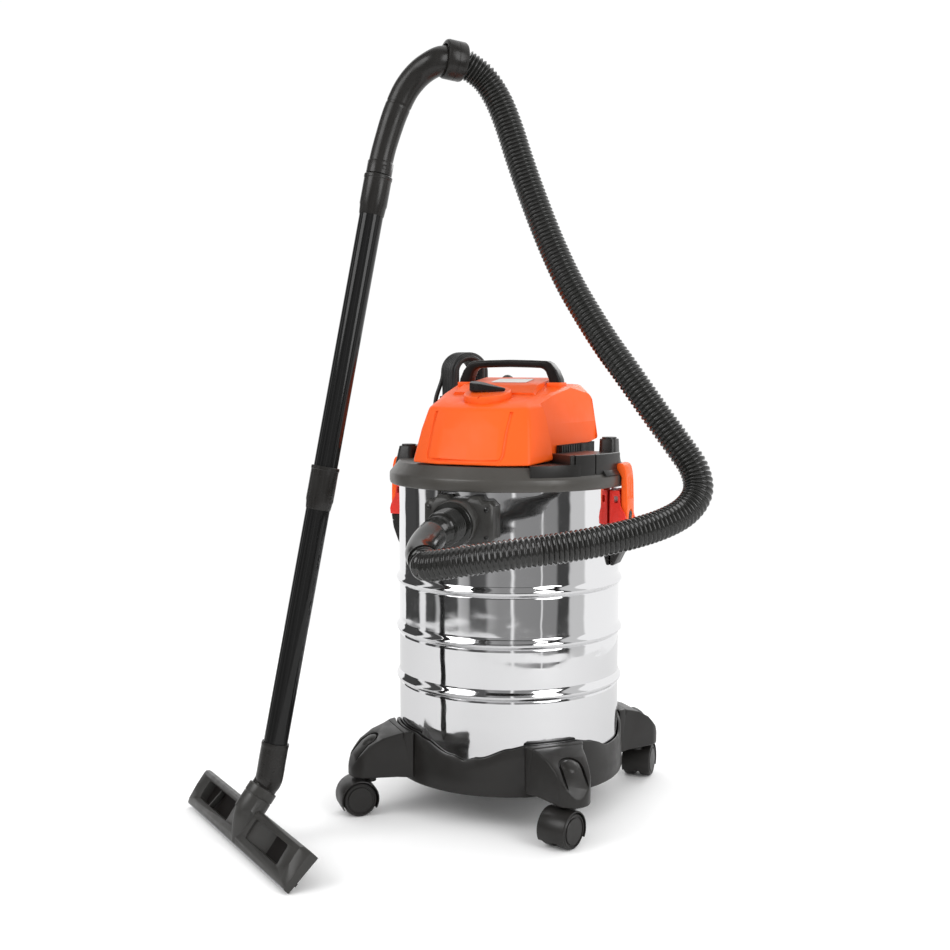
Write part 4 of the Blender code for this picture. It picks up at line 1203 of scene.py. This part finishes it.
def winding():
    """Both layers of the hank: the inner one away from the lead, the outer one back over it."""
    inner = HANK_R
    outer = inner + CORD_D
    start = LEAD_Y
    reach = HANK_DEPTH / 2 - CORD_D / 2
    first = (start + reach) / CORD_D
    change = 0.5
    lap = 2 * math.pi * outer + 4 * HANK_STRAIGHT
    down = (math.pi * outer / 2) / lap
    # The last lap ends at the top of the -X side
    second = math.floor(first + change + 2 * reach / CORD_D - 0.5) + down - first - change
    total = first + change + second
    points = []
    count = round(total * 84)
    for index in range(1, count + 1):
        turns = total * index / count
        if turns < first:
            radius, y = inner, start - turns * CORD_D
        elif turns < first + change:
            radius, y = inner + CORD_D * eased((turns - first) / change), -reach
        else:
            radius, y = outer, -reach + (turns - first - change) * CORD_D
        x, z = racetrack(radius, turns)
        points.append(hank_point(x, y, z))
    return points, y


def tail_route(y):
    """From the last turn's straight side, down and out to the plug's top."""
    high = HANK_STRAIGHT
    low = PLUG_TOP.z + 0.006
    x = -HANK_R - CORD_D
    points = []
    for index in range(1, 15):
        share = index / 14
        aside = Vector((PLUG_TOP.x - x, PLUG_TOP.y - y, 0)) * eased(share)
        points.append(hank_point(x + aside.x, y + aside.y, high + (low - high) * share))
    points.append(hank_point(*PLUG_TOP))
    return points


def build_cord():
    profile = [(0.0034, -0.002), (0.0068, -0.002), (0.0068, 0.007), (0.0064, 0.0076)]
    for index in range(6):
        low = 0.0084 + 0.004 * index
        radius = 0.0062 - 0.0003 * index
        rib = ((0.0, 0.0), (0.0, 0.0022), (0.0012, 0.0027), (0.0012, 0.0035))
        profile += [(radius - inset, low + z) for inset, z in rib]
    profile += [(0.0043, 0.033), (0.004, 0.034), (0.0034, 0.034)]
    gland = placed(lathe("gland_boot", profile, 48), GLAND_ROOT, GLAND_AXIS)
    finish_piece(gland, RUBBER, "head", "cord_gland", slot="black_rubber", sharp=40)
    plug = build_plug()
    lead = smooth_path(lead_route(GLAND_ROOT + GLAND_AXIS * 0.034), 0.004)
    turns, last_y = winding()
    route = lead + turns + tail_route(last_y)
    cord = sweep("mains_cord", route, CORD_D / 2, 10)
    finish_piece(cord, CORD, "head", "cord_lead", "cord_hank", slot="black_rubber", sharp=80)
    build_hook()
    build_tie()


def build_plug():
    # Height, half sizes and corner radius of each section, from the cord down to the face
    sections = [
        (0.0, 0.0045, 0.0045, 0.004), (-0.004, 0.0055, 0.006, 0.004), (-0.01, 0.0078, 0.0095, 0.004),
        (-0.016, 0.007, 0.0088, 0.004), (-0.022, 0.0085, 0.0105, 0.005), (-0.03, 0.01, 0.012, 0.005),
        (-0.0345, 0.01, 0.012, 0.005), (-0.036, 0.009, 0.011, 0.005),
    ]
    rings = [[(px, py, z) for px, py in rounded(x, y, corner)] for z, x, y, corner in sections]
    body = loft("plug_body", rings)
    prongs = None
    for side in (-1, 1):
        prong = disc("plug_prongs", 0.0022, -0.053, -0.034, 24, 0.0006)
        shifted(prong, (0, side * 0.0075, 0))
        prongs = joined(prongs, prong) if prongs else prong
    for piece in (body, prongs):
        piece.data.transform(hank_frame() @ Matrix.Translation(PLUG_TOP))
    finish_piece(body, RUBBER, "head", "plug", slot="black_rubber", sharp=35)
    finish_piece(prongs, METAL, "head", slot="steel")
    return [body, prongs]


def build_hook():
    """J-shaped bracket on the deck that the hank stands in."""
    wall = 0.004
    lip = 0.003
    room = HANK_DEPTH + 0.0006
    side = [
        (0.0, 0.0), (0.0, 0.06), (wall, 0.06), (wall, lip), (wall + room, lip), (wall + room, 0.016),
        (wall + room + lip, 0.016), (wall + room + lip, 0.0),
    ]
    hook = side_slab("hank_rest", [(x - wall - room / 2, z) for x, z in side], 0.012)
    softened(hook, 0.001, 2)
    place = Matrix.Translation((HANK_CENTRE.x, HANK_CENTRE.y, DECK_TOP + 0.0003))
    hook.data.transform(place @ Matrix.Rotation(HANK_ANGLE + math.pi / 2, 4, "Z"))
    finish_piece(hook, BLACK, "head", "cord_hook")


def build_tie():
    """Rubber strap round the hank's waist, with its stud."""
    outside = rounded(0.0318, HANK_DEPTH / 2 + 0.0016, 0.012, 8)
    inside = rounded(0.0303, HANK_DEPTH / 2 + 0.0002, 0.0105, 8)
    tie = slab("cord_tie", outside, -0.0065, 0.0065)
    carved(tie, slab("tie_room", inside, -0.02, 0.02))
    softened(tie, 0.0004, 2)
    stud = disc("tie_stud", 0.0042, -0.001, 0.0022, 32, 0.0008)
    fused(tie, placed(stud, (0.006, HANK_DEPTH / 2 + 0.0014, 0), (0, 1, 0)))
    tie.data.transform(hank_frame())
    finish_piece(tie, RUBBER, "head", slot="black_rubber")


# Wand


def build_wand():
    inner = TUBE_R - 0.0016
    middle = 0.362
    top = WAND_LENGTH
    tubes = (("lower_tube", -0.028, middle, 0.056, 0.044), ("upper_tube", middle - 0.05, top, 0.052, 0.038))
    for node, low, high, flare, cuff in tubes:
        pipe = [(inner, low), (TUBE_R, low), (TUBE_R, high - flare + 0.002), (inner, high - flare + 0.002)]
        look = placed(lathe(node + "_pipe", pipe, 64), WAND_FOOT, ALONG)
        finish_piece(look, GLOSS, "wand", node, sharp=40)
        sleeve = [
            (inner, high - flare), (TUBE_R + 0.0002, high - flare),
            (TUBE_R + 0.0008, high - flare + 0.0015), (CUFF_R - 0.0008, high - cuff - 0.003),
            (CUFF_R, high - cuff), (CUFF_R, high - 0.005), (CUFF_R + 0.0006, high - 0.0042),
            (CUFF_R + 0.0006, high - 0.0008), (CUFF_R, high), (TUBE_R + 0.0003, high),
            (TUBE_R + 0.0003, high - 0.05), (inner, high - 0.05),
        ]
        bell = placed(lathe(node + "_cuff", sleeve, 64), WAND_FOOT, ALONG)
        finish_piece(bell, SATIN, "wand", sharp=35)
    ring_r = CUFF_R - 0.001
    base = WAND_TOP + ALONG * 0.001
    profile = [
        (TUBE_R + 0.0003, 0.0), (ring_r - 0.0005, 0.0), (ring_r, 0.0006), (ring_r, 0.016),
        (ring_r - 0.0006, 0.017), (TUBE_R + 0.0003, 0.017),
    ]
    ring = placed(lathe("bleed_sleeve", profile, 64), base, ALONG)
    carved(ring, placed(block("port", (0.004, 0.007, 0.006), (-CUFF_R, 0, 0.0085), 0.0012), base, ALONG))
    finish_piece(ring, SATIN, "bleed_ring", "bleed_ring", sharp=35)
    route = smooth_path(handle_route(), 0.0015)
    last = len(route) - 1
    radii = []
    for index, point in enumerate(route):
        share = index / last
        radius = TUBE_R * (1.0 + 0.19 * max(0.0, (share - 0.35) / 0.65))
        seam = abs(point.z - WAND_TOP.z - 0.09)
        radii.append(radius - (0.0005 if seam < 0.001 else 0.0))
    handle = sweep("hand_bend", route, radii, 48)
    finish_piece(handle, SATIN, "wand", "handle_tube", sharp=22)


def handle_route():
    """Centre line of the handle tube, from inside the upper cuff to inside the collar."""
    return [
        WAND_TOP - ALONG * 0.046,
        WAND_TOP - ALONG * 0.02,
        WAND_TOP + ALONG * 0.022,
        (-0.0957, -0.178, 0.912),
        (-0.0868, -0.1725, 0.942),
        (-0.0747, -0.1668, 0.9695),
        (-0.058, -0.1604, 0.99),
        COLLAR_CENTRE - SWIVEL_AXIS * 0.024 - Vector((0, 0, 0.007)),
        COLLAR_CENTRE - SWIVEL_AXIS * 0.01 - Vector((0, 0, 0.0015)),
        COLLAR_CENTRE + SWIVEL_AXIS * 0.006,
    ]


def nozzle_frame():
    """Nozzle's frame: X along its length, Y up its slope from the front edge, Z out of its top face."""
    front = Vector((NOZZLE_ALONG.y, -NOZZLE_ALONG.x, 0)).normalized()
    up_slope = -front * math.cos(NOZZLE_TILT) + Vector((0, 0, math.sin(NOZZLE_TILT)))
    normal = NOZZLE_ALONG.cross(up_slope)
    matrix = Matrix((NOZZLE_ALONG, up_slope, normal)).transposed().to_4x4()
    matrix.translation = NOZZLE_FRONT
    return matrix


def pocket_place(side):
    """The tilted frame of the pocket left or right of the nozzle's barrel."""
    return Matrix.Translation((side * 0.088 - 0.0055, 0.028, 0.021)) @ Matrix.Rotation(0.17, 4, "X")


def nozzle_prow():
    """The barrel's round top runs down to the front edge and sharpens to a ridge."""
    rows = []
    for step in range(11):
        share = step / 10
        radius = 0.0199 - 0.0069 * share**1.5
        top = 0.0412 - 0.0287 * share**1.6
        y = 0.044 - 0.0425 * share
        row = [(radius, y, 0.004)]
        for turn in range(0, 181, 12):
            x = radius * math.cos(math.radians(turn))
            arch = top - radius + radius * math.sin(math.radians(turn))
            ridge = top - abs(x) * 0.9
            row.append((x, y, max(0.005, arch + (ridge - arch) * share)))
        row.append((-radius, y, 0.004))
        rows.append(row)
    return loft("prow", rows)


def build_nozzle():
    half = NOZZLE_LENGTH / 2
    left = -half - 0.003
    right = half - 0.008
    section = [
        (0.0008, 0.0), (0.0, 0.0012), (0.0, 0.0068), (0.0012, 0.0085), (0.0065, 0.014), (0.026, 0.019),
        (0.044, 0.0222), (0.0485, 0.0222), (0.0515, 0.019), (0.0525, 0.015), (0.0525, 0.0),
    ]
    rings = []
    # Each end falls away in a sloping facet
    for x, keep in ((left, 0.3), (left + 0.006, 1.0), (right - 0.011, 1.0), (right, 0.3)):
        rings.append([(x, y, min(z, 0.0085) + keep * max(0.0, z - 0.0085)) for y, z in section])
    body = loft("nozzle_shell", rings)
    # A long pocket on either side of the barrel, its floor parallel to the top face
    for side in (-1, 1):
        room = slab("pocket", rounded(0.053, 0.0135, 0.004, 7), -0.014, 0.015)
        room.data.transform(pocket_place(side))
        carved(body, room)
    fused(body, nozzle_prow())
    barrel = BARREL_TOP - BARREL_FOOT
    barrel_axis = barrel.normalized()
    length = barrel.length
    profile = [
        (0, 0.015), (0.0195, 0.015), (0.0195, length - 0.014), (0.0189, length - 0.0134),
        (0.0189, length - 0.0124), (0.0197, length - 0.0118), (0.0197, length - 0.001), (0.019, length),
        (0.017, length), (0.017, length - 0.03), (0, length - 0.03),
    ]
    fused(body, placed(lathe("barrel", profile, 72), BARREL_FOOT, barrel_axis))
    carved(body, block("mouth", (0.32, 0.02, 0.006), (-0.0055, 0.032, 0.0)))
    carved(body, block("strip_slot", (0.336, 0.0052, 0.01), (-0.0055, 0.013, 0.0)))
    softened(body, 0.0009, 2, 32)
    joined(body, block("ridge", (0.0026, 0.0265, 0.008), (-0.108, 0.028, 0.013), 0.0008))
    # In the right pocket a curved ramp runs down from the barrel's side to the floor
    outline = [(-0.054, -0.015), (-0.054, -0.0042), (-0.045, -0.0052), (-0.035, -0.0074), (-0.024, -0.0104)]
    ramp = side_slab("ramp", outline + [(-0.012, -0.013), (0.0, -0.0139), (0.0, -0.015)], 0.0134)
    ramp.data.transform(pocket_place(1))
    joined(body, ramp)
    body.data.transform(nozzle_frame())
    finish_piece(body, SOFT_BLACK, "nozzle", "nozzle_body", sharp=33)
    # Painted shade: near-black sheets of the grip material on the pockets' floors stand in for the shade that
    # falls in the pockets
    for side in (-1, 1):
        floor = slab("pocket_painted_shade_" + side_name(side), rounded(0.0528, 0.0133, 0.004, 7), -0.0145, -0.0136)
        floor.data.transform(nozzle_frame() @ pocket_place(side))
        finish_piece(floor, GRIP, "nozzle")
    edge = smooth_path([(x, 0.0012, 0.0068) for x in (left + 0.002, 0, right - 0.002)], 0.01)
    rim = sweep("front_rim", edge, 0.0014, 12)
    rim.data.transform(nozzle_frame())
    finish_piece(rim, GREY, "nozzle", slot="grey_plastic")
    build_elbow(barrel_axis)


def build_elbow(barrel_axis):
    frame = nozzle_frame()
    top = frame @ BARREL_TOP
    axis = frame.to_3x3() @ barrel_axis
    neck_low = top - axis * 0.024
    route = [
        WAND_FOOT + ALONG * 0.001,
        WAND_FOOT - ALONG * 0.022,
        WAND_FOOT - ALONG * 0.046,
        top + axis * 0.004,
        neck_low,
    ]
    path = smooth_path(route, 0.0025)
    radii = []
    travelled = 0.0
    for index, point in enumerate(path):
        travelled += (point - path[index - 1]).length if index else 0.0
        lip = 0.0004 if 0.001 < travelled < 0.004 else 0.0
        shoulder = 0.0008 * min(1.0, max(0.0, (0.058 - travelled) / 0.012))
        radii.append(0.0168 + lip + shoulder)
    elbow = sweep("elbow_bend", path, radii, 56)
    carved(elbow, placed(disc("tube_room", TUBE_R + 0.0003, -0.03, 0.01, 64), WAND_FOOT, ALONG))
    finish_piece(elbow, SATIN, "wand", "nozzle_elbow", sharp=24)


# Closing steps


def dress_frame():
    """Procedural materials for the frame's own nodes that stay visible."""
    looks = {
        "lid_seal": RUBBER,
        "inlet_deflector": BLACK,
        "motor": METAL,
        "impeller": METAL,
        "fan_housing": GREY,
        "filter_cage": GREY,
        "filter_sleeve": FOAM,
        "float_ball": ORANGE,
    }
    for name, node in FRAME["nodes"].items():
        if node.hide_render:
            continue
        look = looks.get(name, BLACK)
        node.data.materials.clear()
        node.data.materials.append(look)


build_camera()
build_studio()
build_drum()
build_inlet()
build_connector()
build_hose()
build_tray()
for arm_name, arm_angle in ARM_ANGLES.items():
    build_arm(arm_name, arm_angle)
    build_caster(arm_name, arm_angle)
for latch_name, latch_angle in (("right", 0), ("left", 180)):
    build_latch(latch_name, latch_angle)
build_housing()
build_cover()
for grille_side in (-1, 1):
    build_grille(grille_side)
build_handle()
build_switch()
build_cord()
build_wand()
build_nozzle()
dress_frame()
bpy.context.view_layer.update()
